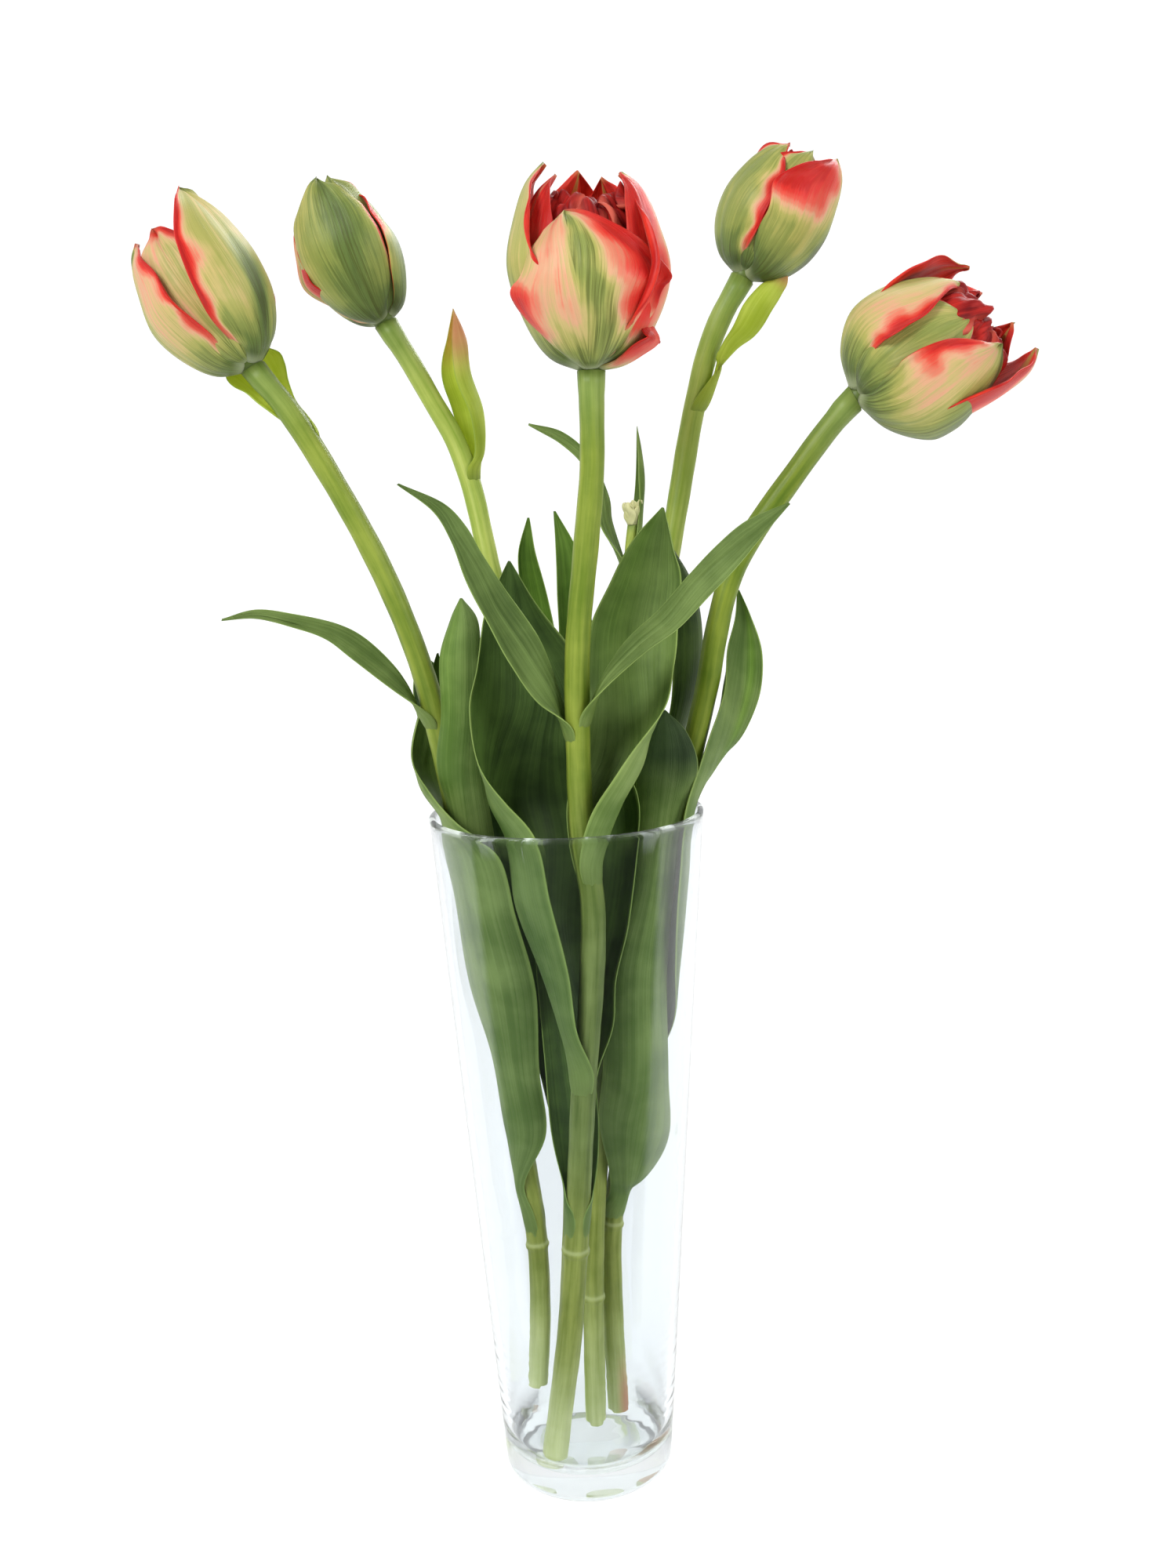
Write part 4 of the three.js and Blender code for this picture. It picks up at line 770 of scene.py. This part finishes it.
def build_stem(name, stem, seed, bloom_axis=None):
    first, last = stem["path"][0][2], stem["path"][-1][2]
    heights = [first, first + 0.15, first + 0.5, *np.linspace(first + 2, last, STEM_RINGS)]
    for scar in stem["scars"]:
        heights += list(scar + np.linspace(-3, 3, 13))
    heights = np.unique(np.round(heights, 4))
    place, turn = stem_axis(stem, heights)
    turn[0] = UP
    if bloom_axis is not None:
        turn[-1] = bloom_axis
    side = unit(np.cross([0.0, 1.0, 0.0], turn))
    front = np.cross(turn, side)
    angle = 2 * np.pi * np.arange(STEM_SIDES) / STEM_SIDES
    rng = np.random.default_rng(seed)
    ribs = sum(0.012 * np.sin(k * angle + rng.uniform(0, 6.28)) for k in (3, 5, 9, 13))
    lumps = 0.02 * np.sin(heights * 0.13 + rng.uniform(0, 6.28)) + 0.012 * np.sin(heights * 0.41)
    radius = stem_radius(stem, heights) * (1 + lumps)
    radius[:2] -= (0.35, 0.12)  # the edge of the cut
    if bloom_axis is not None:
        radius = radius + 0.5 * smooth(last - NECK_LENGTH, last, heights)
        place[-1] = place[-1] + bloom_axis * 1.2
    ring = radius[:, None] * (1 + ribs)
    rings = (place[:, None] + ring[..., None] * (side[:, None] * np.cos(angle)[None, :, None]
                                                + front[:, None] * np.sin(angle)[None, :, None]))
    scar = sum(hump(heights, z + 1.2, 0.7) for z in stem["scars"]) + 0 * heights
    by_ring = {"along": (heights - first) / (last - first), "inner": heights <= first + 0.1, "scar": scar}
    values = {key: np.repeat(value.astype(float), STEM_SIDES) for key, value in by_ring.items()}
    values["around"] = np.tile(angle / (2 * np.pi), len(heights))
    mesh = Mesh()
    add_tube(mesh, rings, {**values, "seed": seed * 3.7, "brown": stem.get("brown", 0), "tone": stem["tone"]})
    mesh.piece(f"{name}_skin", name, "stem", STEM)


# ---------- leaves ----------

LEAF_ROWS = 96
LEAF_COLUMNS = 25
TIP_HALF = 0.4


def sheath_station(stem, row, gap):
    height, azimuth, wrap = row
    place, _ = stem_axis(stem, [height])
    reach = stem_radius(stem, np.array([height]))[0] + gap
    angles = [math.radians(azimuth + turn) for turn in (wrap, 0, -wrap)]
    return [place[0] + reach * np.array([math.cos(angle), math.sin(angle), 0]) for angle in angles]


def row_station(row):
    """The three points of a row of the table."""
    if len(row) == 7:
        height, *row = row
        row = [number for k in (0, 2, 4) for number in (row[k], row[k + 1], height)]
    return list(np.array(row, float).reshape(3, 3))


def build_leaf(name, leaf, seed):
    gaps = np.linspace(-0.6, SHEATH_GAP + CAD_BLADE / 2, len(leaf["sheath"]))
    stations = [sheath_station(STEMS[leaf["stem"]], row, gap) for row, gap in zip(leaf["sheath"], gaps)]
    stations += [row_station(row) for row in leaf["rows"][:-1]]
    tip = np.array(leaf["rows"][-1], float)
    across_tip = unit(stations[-1][2] - stations[-1][0]) * TIP_HALF
    stations.append([tip - across_tip, tip, tip + across_tip])
    rows = np.linspace(0, 1, LEAF_ROWS)
    left, middle, right = (curve_through([s[k] for s in stations], rows) for k in range(3))
    columns = np.sin(np.linspace(-1, 1, LEAF_COLUMNS) * np.pi / 2)
    grid = arc_grid(left, middle, right, columns)
    along, across = np.meshgrid(rows, columns, indexing="ij")
    phases = np.random.default_rng(seed).uniform(0, 2 * np.pi, 6)
    width = np.linalg.norm(right - left, axis=1)[:, None]
    free = smooth(0.12, 0.3, along) * smooth(1.0, 0.85, along)
    wave = np.sin(along * 21 + phases[0] + across) + 0.6 * np.sin(along * 37 + phases[1] - across * 2)
    lift = 0.012 * width * np.abs(across) ** 3 * wave * free
    pleats = 0.05 * np.sin(across * 17 + phases[2]) + 0.04 * np.sin(across * 29 + phases[3])
    keel = -0.35 * hump(across, 0, 0.09) * smooth(1.0, 0.8, along) * smooth(0.05, 0.2, along)
    grid = grid + normals_of(grid) * (lift + pleats * smooth(1, 0.9, along) + keel)[..., None]
    ends = smooth(1.02, 0.9, along) * smooth(-0.02, 0.06, along)
    thickness = (0.85 - 0.35 * along) * (1 - 0.7 * np.abs(across) ** 6) * ends + 0.12
    # lit paints a stripe of light along the leaf.
    centre, wide, strength = leaf.get("lit", (0, 1, 0))
    lit = strength * hump(across, centre, wide) * smooth(0.3, 0.7, along)
    # deep marks where the leaf is painted in shade.
    deep, blush = (smooth(*leaf[key], along) if key in leaf else 0 for key in ("deep", "blush"))
    looks = {"tone": leaf["tone"], "lit": lit, "deep": deep, "blush": blush, "seed": seed * 5.3}
    mesh = Mesh()
    back_is_inner = leaf["sheath"][0][2] > 0
    add_blade(mesh, grid, thickness, back_is_inner, {"across": across, "along": along, **looks})
    slot = "pale_leaf" if name in PALE_LEAVES else "leaf"
    mesh.piece(f"{name}_blade", name, slot, BRACT if name.startswith("bract") else LEAF)


# ---------- blooms ----------

# Along a petal: (share of the reach, share of the height, share of the half width).
PETAL_STATIONS = [
    (0.14, 0.0, 0.2), (0.6, 0.07, 0.62), (0.95, 0.26, 0.95), (1.0, 0.5, 1.0), (0.9, 0.72, 0.84),
    (0.74, 0.89, 0.46), (0.5, 1.0, 0.005),
]
HEART_STATIONS = [
    (0.14, 0.0, 0.2), (0.55, 0.1, 0.6), (0.9, 0.4, 0.95), (0.95, 0.7, 1.0), (0.72, 0.92, 0.9),
    (0.42, 1.0, 0.6),
]
LEAN_FROM = 0.4
TIGHTEST_BEND = 1.35
# hug is the bend of a petal to its distance from the axis, shingle lifts one side over the next
# petal, and rise is the height of its foot.
OUTER_FORM = {"hug": 1.12, "shingle": 0.05, "rise": 1.2}
INNER_FORM = {"hug": 1.1, "shingle": 0.05, "rise": 2.8}
HEART_FORM = {"hug": 1.15, "shingle": 0.2, "rise": 6.5}
# Each whorl: its form, which of the bloom's two reaches it has, and where its seeds start.
WHORLS = {"outer": (OUTER_FORM, 0, 50), "inner": (INNER_FORM, 1, 50), "reflexed": (OUTER_FORM, 0, 80)}
PETAL_CELLS = (56, 33)
HEART_CELLS = (40, 25)
HEART_SHARES = (1.0, 0.82, 0.64)
PHYLLOTAXIS = 360 * 0.382


def petal_grid(petal, form, stations, cells):
    """A petal's points about the bloom's axis, before it is turned to its place."""
    slim, reach, height = petal["slim"], petal["reach"], petal["height"]
    profile = []
    for out, up, _ in stations:
        spread = petal["lean"] * max(0, up - LEAN_FROM) / (1 - LEAN_FROM)
        waist = slim + (1 - slim) * min(1, abs(up - 0.15) / 0.35)
        profile.append(((out * waist + spread) * reach, 0, form["rise"] + up * height))
    along, across = (np.linspace(start, 1, count) for start, count in zip((0, -1), cells))
    middle = curve_through(profile, along)
    turn = unit(np.gradient(middle, axis=0))
    inwards = np.stack([-turn[:, 2], turn[:, 1] * 0, turn[:, 0]], axis=1)
    widths = curve_through([(i, width, 0) for i, (_, _, width) in enumerate(stations)], along)[:, 1]
    high = smooth(0.35, 0.75, middle[:, 2] / height)
    left, right = (petal["half"] * widths * (1 + (blunt - 1) * high) for blunt in petal["blunt"])
    bend = np.maximum(form["hug"] * middle[:, 0], np.maximum(left, right) / TIGHTEST_BEND)[:, None]
    skew = petal["skew"] * smooth(0.15, 1.1, along)[:, None]
    half = np.where(across[None] < 0, left[:, None], right[:, None])
    angle = across[None] * half / bend + skew / np.maximum(bend, 6)
    side = bend * np.sin(angle)
    lift = bend * (1 - np.cos(angle)) + form["shingle"] * side
    grid = middle[:, None] + inwards[:, None] * lift[..., None] + np.array([0, 1.0, 0]) * side[..., None]
    return grid, *np.meshgrid(along, across, indexing="ij")


def turned(grid, turn):
    c, s = math.cos(math.radians(turn)), math.sin(math.radians(turn))
    return grid @ np.array([[c, s, 0], [-s, c, 0], [0, 0, 1]])


def roll_margin(grid, outside, along, side, share, degrees, start):
    """Rolls the outer share of one margin outwards by up to degrees, so that its inside shows."""
    columns = grid.shape[1]
    strip = max(2, int(share * columns / 2))
    fold = columns - 1 - strip if side > 0 else strip
    place = grid[:, fold]
    beyond = unit(grid[:, fold + side] - grid[:, fold - side])
    normal = outside[:, fold]
    turn = np.radians(degrees) * smooth(start, start + 0.28, along[:, 0]) * smooth(0.88, 0.6, along[:, 0])
    for k in range(1, strip + 1):
        column = fold + side * k
        length = np.linalg.norm(grid[:, column] - place, axis=1)
        angle = turn * k / strip
        radius = length / np.maximum(angle, 1e-3)
        curled = beyond * (radius * np.sin(angle))[:, None] + normal * (radius * (1 - np.cos(angle)))[:, None]
        grid[:, column] = np.where(angle[:, None] > 0.02, place + curled, grid[:, column])


def margin(side, share, ragged):
    """How far a point is into a margin that takes a share of the half width."""
    if share <= 0:
        return 0 * side
    share = share + min(share, 0.4) * ragged
    halo = smooth(1.0 - share * 1.8, 1.0 - share * 0.7, side)
    return 0.35 * halo + 0.65 * smooth(1.0 - share, 1.0 - share * 0.4, side)


def petal_red(petal, along, across, p):
    """How red the outside is: its two margins and its top, over the ground."""
    left, right, top = petal["red"]
    spans = [smooth(start - 0.05, start + 0.2, along) * smooth(end + 0.1, end - 0.15, along)
             for start, end in petal["spans"]]
    ragged = 0.24 * np.sin(along * 13 + p[5]) + 0.22 * np.sin(along * 31 + p[6])
    red = margin(-across, left, ragged) * spans[0]
    red = np.maximum(red, margin(across, right, ragged[::-1]) * spans[1])
    red = np.maximum(red, margin(along, top, 0.15 * np.sin(across * 5 + p[7])))
    return petal["blush"] + (1 - petal["blush"]) * red


def petal_green(petal, along, across, p):
    """How green the outside is: its flame, its foot and its tip."""
    middle = petal["at"] + petal["drift"] * (along - 0.5) + 0.04 * np.sin(along * 15 + p[4])
    wide = petal["flame"] * (1 - 0.35 * along)
    flame = np.exp(-(np.abs((across - middle) / wide) ** 2.2)) * smooth(0.0, 0.1, along)
    flame = flame * petal["green"] * smooth(*petal["fade"], along)
    return np.maximum.reduce([flame, 0.8 * smooth(0.42, 0.05, along), 0.5 * smooth(0.9, 1.0, along)])


def add_petal(mesh, petal, form, seed):
    grid, along, across = petal_grid(petal, form, PETAL_STATIONS, PETAL_CELLS)
    p = np.random.default_rng(seed).uniform(0, 2 * np.pi, 8)
    rough = petal["rough"]
    top = smooth(0.25, 0.9, along)
    ruffle = np.sin(along * 17 + p[0] + across * 1.5) + 0.7 * np.sin(along * 31 + p[1] - across * 2)
    folds = np.sin(across * 4.2 + p[2]) * 0.45 + np.sin(across * 9 + p[3] + along * 2) * 0.22
    folds = folds + 0.3 * np.sin(along * 9 + p[4] + across * 3)
    crease = 0.4 * hump(across, 0, 0.08) * smooth(0.0, 0.2, along)
    frill = 0.6 * rough * ruffle * np.abs(across) ** 3 * top * smooth(1.0, 0.93, along)
    sign = inward_sign(grid)
    outside = -sign * normals_of(grid)
    grid = grid + outside * (frill + rough * folds * top - crease)[..., None]
    for side, (share, degrees) in zip((-1, 1), petal["roll"]):
        if share:
            roll_margin(grid, outside, along, side, share, degrees, petal["roll_from"])
    thickness = (1.0 - 0.45 * along) * (1 - 0.6 * np.abs(across) ** 4) * smooth(1.03, 0.9, along) + 0.12
    looks = {"green": petal_green(petal, along, across, p), "red": petal_red(petal, along, across, p)}
    values = {"across": across, "along": along, **looks, "seed": seed * 2.9}
    add_blade(mesh, turned(grid, petal["turn"]), thickness, sign < 0, values)


def inward_sign(grid):
    """1 where the grid's normals point in, towards the bloom's axis, and -1 where they point out."""
    centre = grid.shape[0] // 2, grid.shape[1] // 2
    return 1.0 if normals_of(grid)[centre][:2] @ grid[centre][:2] < 0 else -1.0


def add_heart_petal(mesh, petal, seed):
    grid, along, across = petal_grid(petal, HEART_FORM, HEART_STATIONS, HEART_CELLS)
    p = np.random.default_rng(seed).uniform(0, 2 * np.pi, 8)
    rough = (np.sin(across * 4 + p[0] + along * 5) + 0.9 * np.sin(across * 8 + p[1] - along * 9)
             + 0.5 * np.sin(across * 15 + along * 19 + p[2]))
    curl = 1.8 * np.sin(across * 3 + p[4]) * smooth(0.82, 1.0, along)
    crumple = 1.15 * rough * smooth(0.2, 0.85, along) + curl
    notch = 0.8 * np.sin(across * 6 + p[3]) * smooth(0.6, 1.0, along)
    grid = grid + normals_of(grid) * crumple[..., None] + UP * notch[..., None]
    thickness = (0.8 - 0.3 * along) * (1 - 0.5 * np.abs(across) ** 4)
    values = {"across": np.abs(across), "along": along, "seed": seed * 1.7}
    add_blade(mesh, turned(grid, petal["turn"]), thickness, inward_sign(grid) < 0, values)


def add_spindle(mesh, profile, **values):
    add_tube(mesh, lathe(profile, 24), {"inner": 0, **values})


def on_stem(mesh, bloom):
    """Stands what is modelled along +Z on its stem, leaning along the bloom's axis."""
    direction = unit(np.array(bloom["axis"], float))
    base = np.array(STEMS[bloom["stem"]]["path"][-1], float) + direction * BLOOM_GAP
    turn = np.array(Vector((0, 0, 1)).rotation_difference(Vector(direction)).to_matrix())
    mesh.points = [points @ turn.T + base for points in mesh.points]


def build_bloom(name, bloom, seed):
    petals = Mesh()
    foot = [(3.5, -0.2), (3.9, 0.8), (4.2, 3.0), (3.0, 4.6), (0.4, 5.0)]
    add_spindle(petals, foot, across=0, along=0.2, green=0.75, red=0, seed=0)
    for whorl, (form, which, first_seed) in WHORLS.items():
        for k, facts in enumerate(bloom.get(whorl, [])):
            facts = {"slim": bloom["slim"], "reach": bloom["reach"][which], **facts}
            add_petal(petals, facts, form, seed * 100 + first_seed + k)
    on_stem(petals, bloom)
    petals.piece(f"{name}_petal_whorls", f"{name}_petals", "petal", PETAL)
    heart = Mesh()
    pistil = [(1.4, 5.2), (3.0, 8), (2.9, 18), (1.9, 24), (2.8, 26.5), (0.5, 27)]
    add_spindle(heart, pistil, across=0, along=0.3, seed=0)
    reach, height, half, count = bloom["heart"]
    rng = np.random.default_rng(seed)
    for k in range(count):
        share = HEART_SHARES[k % 3]
        facts = dict(PETAL_DEFAULTS, turn=PHYLLOTAXIS * k + rng.uniform(-8, 8), reach=reach * share, slim=1,
                     height=height * (0.8 + 0.2 * share), half=half * (0.7 + 0.3 * share))
        add_heart_petal(heart, facts, seed * 50 + k)
    on_stem(heart, bloom)
    heart.piece(f"{name}_heart_petals", f"{name}_heart", "heart", HEART)


# ---------- the side shoot's bud ----------

BUD_SCALES = 8


def build_bud():
    """Small crumpled scales about a core, on top of the side shoot."""
    mesh = Mesh()
    add_spindle(mesh, [(1.6, -0.4), (2.2, 1.2), (2.5, 3.5), (1.8, 6.5), (0.5, 8)])
    along, across = np.meshgrid(np.linspace(0, 1, 20), np.linspace(-1, 1, 15), indexing="ij")
    for k in range(BUD_SCALES):
        azimuth = 2.4 * k + across * (0.15 + 0.75 * np.sin(math.pi * (0.12 + 0.78 * along)))
        crumple = 0.4 * np.sin(9 * along + 3 * across + 2 * k) + 0.25 * np.sin(7 * across + k)
        radius = 1.4 + 0.1 * k + 1.3 * np.sin(1.8 * along) + crumple * along
        rise = 0.2 + along * (7.2 + 0.8 * (k % 3)) - 1.4 * across**2 * along
        grid = np.stack([radius * np.cos(azimuth), radius * np.sin(azimuth), rise], axis=-1)
        add_blade(mesh, grid, np.full(grid.shape[:2], 0.4), inward_sign(grid) < 0, {})
    top = np.array(STEMS["side_shoot"]["path"][-1], float)
    mesh.points = [points + top for points in mesh.points]
    mesh.piece("side_bud_scales", "side_bud", "bud", BUD)


# ---------- vase ----------

VASE_SIDES = 160
OUTER_RINGS = 40
RIM_RINGS = 12
INNER_RINGS = 180
RIM_BEAD = 1.15
RIPPLE = 0.05
RIPPLES_END = 80


def build_vase():
    """Straight tapered walls, a rounded foot, a thick base and a fire-polished rim."""
    height, rim, foot, floor = (VASE[key] for key in ("height", "rim_radius", "foot_radius", "floor"))
    outside = lambda z: foot + (rim - foot) * z / height
    wall = lambda z: VASE["low_wall"] + (VASE["rim_wall"] - VASE["low_wall"]) * z / height
    ripple = lambda z: RIPPLE * math.sin(z * 1.7 + 2 * math.sin(z * 0.31)) * max(0, 1 - z / RIPPLES_END)
    inside = lambda z: outside(z) - wall(z) + ripple(z)
    profile = [(foot - 8, 0.15), (foot - 4.5, 0), (foot - 2.6, 0.35), (foot - 1.2, 1.3),
               (outside(2.6) - 0.2, 2.6), (outside(4.5), 4.5)]
    profile += [(outside(z), z) for z in np.linspace(12, height - 2.2, OUTER_RINGS)]
    profile += [(rim - 1.05 + RIM_BEAD * math.cos(angle), height + RIM_BEAD * (math.sin(angle) - 1))
                for angle in np.pi * np.arange(1, RIM_RINGS) / RIM_RINGS]
    profile += [(inside(z), z) for z in np.linspace(height - 2.4, floor + 10, INNER_RINGS)]
    profile += [(inside(floor + 6) - 0.4, floor + 6), (inside(floor + 3) - 1.5, floor + 3),
                (inside(floor + 1) - 3.2, floor + 1.0), (inside(floor) - 5.5, floor + 0.2)]
    points = np.vstack([(0, 0, 0.25), lathe(profile, VASE_SIDES).reshape(-1, 3), (0, 0, floor)])
    faces = ring_faces(len(profile), VASE_SIDES, first=1)
    last = len(points) - 1
    top = last - VASE_SIDES
    for j in range(VASE_SIDES):
        k = (j + 1) % VASE_SIDES
        faces += [(0, 1 + k, 1 + j), (top + j, top + k, last)]
    heights = points[:, 2]
    near_corner = hump(heights, floor + 1.5, 4) * (np.arange(len(points)) > len(points) / 2)
    thin = 0.5 * smooth(height - 3, height - 1, heights) + 0.75 * near_corner
    mesh = Mesh()
    # rim marks the band of the painted highlight on the rim.
    mesh.add(points, faces, {"thin": thin, "rim": smooth(height - 1.2, height - 0.4, heights)})
    mesh.piece("vase_glass", "vase", "glass", GLASS)


# ---------- studio ----------

CAMERA_PLACE = (0.019, -0.518, 0.353)
CAMERA_DOWN = 10.3
CAMERA_ASIDE = -1.23
CAMERA_ROLL = -1.92
CAMERA_LENS = 34.6
SENSOR = 36
FLOOR_WIDE = 4.0
FLOOR_NEAR = -3.0
CURVE_FROM = 1.2
CURVE_RADIUS = 1.2
CURVE_STEPS = 12
WALL_TOP = 4.0
WHITE = (1, 1, 1, 1)
# Each lamp: its place, what it points at, its width and its power.
LAMPS = {
    "key": ((-0.9, -1.1, 1.3), (0, 0, 0.3), 0.7, 24),
    "fill": ((1.3, -0.9, 0.9), (0, 0, 0.3), 0.9, 12),
    "back": ((0.5, 0.9, 1.1), (0, 0, 0.35), 0.8, 12),
}


def build_camera():
    data = bpy.data.cameras.new("camera")
    data.lens = CAMERA_LENS
    data.sensor_width = SENSOR
    data.sensor_fit = "AUTO"
    matrix = Matrix.Translation(CAMERA_PLACE)
    for degrees, axis in ((-CAMERA_ASIDE, "Z"), (90 - CAMERA_DOWN, "X"), (CAMERA_ROLL, "Z")):
        matrix = matrix @ Matrix.Rotation(math.radians(degrees), 4, axis)
    camera = link("camera", data)
    camera.matrix_world = matrix
    bpy.context.scene.camera = camera


def dark_front(s, away, far, near):
    """1 where a ray that glass has mirrored meets the front half of the room, which is dark."""
    mirrored = s.math("MINIMUM", s.out("LightPath", {}, "Glossy Depth"), 1.0)
    return mirrored * s.step(away, far, near)


def build_floor():
    """A white sheet that curves up behind the vase and shows no seam."""
    profile = [(FLOOR_NEAR, 0.0), (CURVE_FROM, 0.0)]
    for angle in (math.radians(90 * k / CURVE_STEPS) for k in range(1, CURVE_STEPS + 1)):
        profile.append((CURVE_FROM + CURVE_RADIUS * math.sin(angle), CURVE_RADIUS * (1 - math.cos(angle))))
    profile.append((CURVE_FROM + CURVE_RADIUS, WALL_TOP))
    points = [(x, y, z) for y, z in profile for x in (-FLOOR_WIDE, FLOOR_WIDE)]
    faces = [(2 * i, 2 * i + 1, 2 * i + 3, 2 * i + 2) for i in range(len(profile) - 1)]
    mesh = bpy.data.meshes.new("floor")
    mesh.from_pydata(points, [], faces)
    mesh.shade_smooth()
    s = Shade(bpy.data.materials.new("floor"))
    away = s.away("Object")
    hidden = dark_front(s, away, -0.05, -0.1)
    base = s.mix(s.speckle(30.0), (0.28, 0.285, 0.29, 1), (0.32, 0.32, 0.32, 1))
    base = s.mix(hidden, base, (0.02, 0.02, 0.02, 1))
    glow = s.step(away, 0.8, 2.0) * 0.1 + 0.76 - hidden * 0.74
    mesh.materials.append(s.show(s.surface(base, 0.9, Emission_Color=WHITE, Emission_Strength=glow)))
    link("floor", mesh)


def build_lamp(name, place, target, size, power):
    data = bpy.data.lights.new(name, "AREA")
    data.shape = "DISK"
    data.size = size
    data.energy = power
    lamp = link(name, data)
    lamp.location = place
    lamp.rotation_euler = (Vector(target) - Vector(place)).to_track_quat("-Z", "Y").to_euler()
    lamp.visible_transmission = False


def build_world():
    """Soft light from all round, dim in front, and pale where it is seen through glass."""
    world = bpy.data.worlds.new("studio")
    s = Shade(world)
    away = s.away("Generated")
    room = s.step(away, -0.2, 0.5) * 0.86 + 0.22
    clear = dark_front(s, away, 0.0, -0.4) * -0.8 + 0.85
    glass, lens = (s.out("LightPath", {}, f"Is {kind} Ray") for kind in ("Transmission", "Camera"))
    seen = s.math("MAXIMUM", glass * clear, lens * 0.95)
    light = {"Strength": s.math("MAXIMUM", room, seen), "Color": (0.98, 0.99, 1.0, 1)}
    s.show(s.out("Background", light), "World")
    bpy.context.scene.world = world


build_vase()
axes = {bloom["stem"]: unit(np.array(bloom["axis"], float)) for bloom in BLOOMS.values()}
for number, (stem_name, stem_facts) in enumerate(STEMS.items()):
    build_stem(stem_name, stem_facts, number + 1, axes.get(stem_name))
for number, (leaf_name, leaf_facts) in enumerate(LEAVES.items()):
    build_leaf(leaf_name, leaf_facts, number + 11)
for number, (bloom_name, bloom_facts) in enumerate(BLOOMS.items()):
    build_bloom(bloom_name, bloom_facts, number + 41)
build_bud()
build_floor()
build_camera()
build_world()
for lamp_name, lamp_facts in LAMPS.items():
    build_lamp(lamp_name, *lamp_facts)
bpy.context.scene.view_settings.view_transform = "Standard"
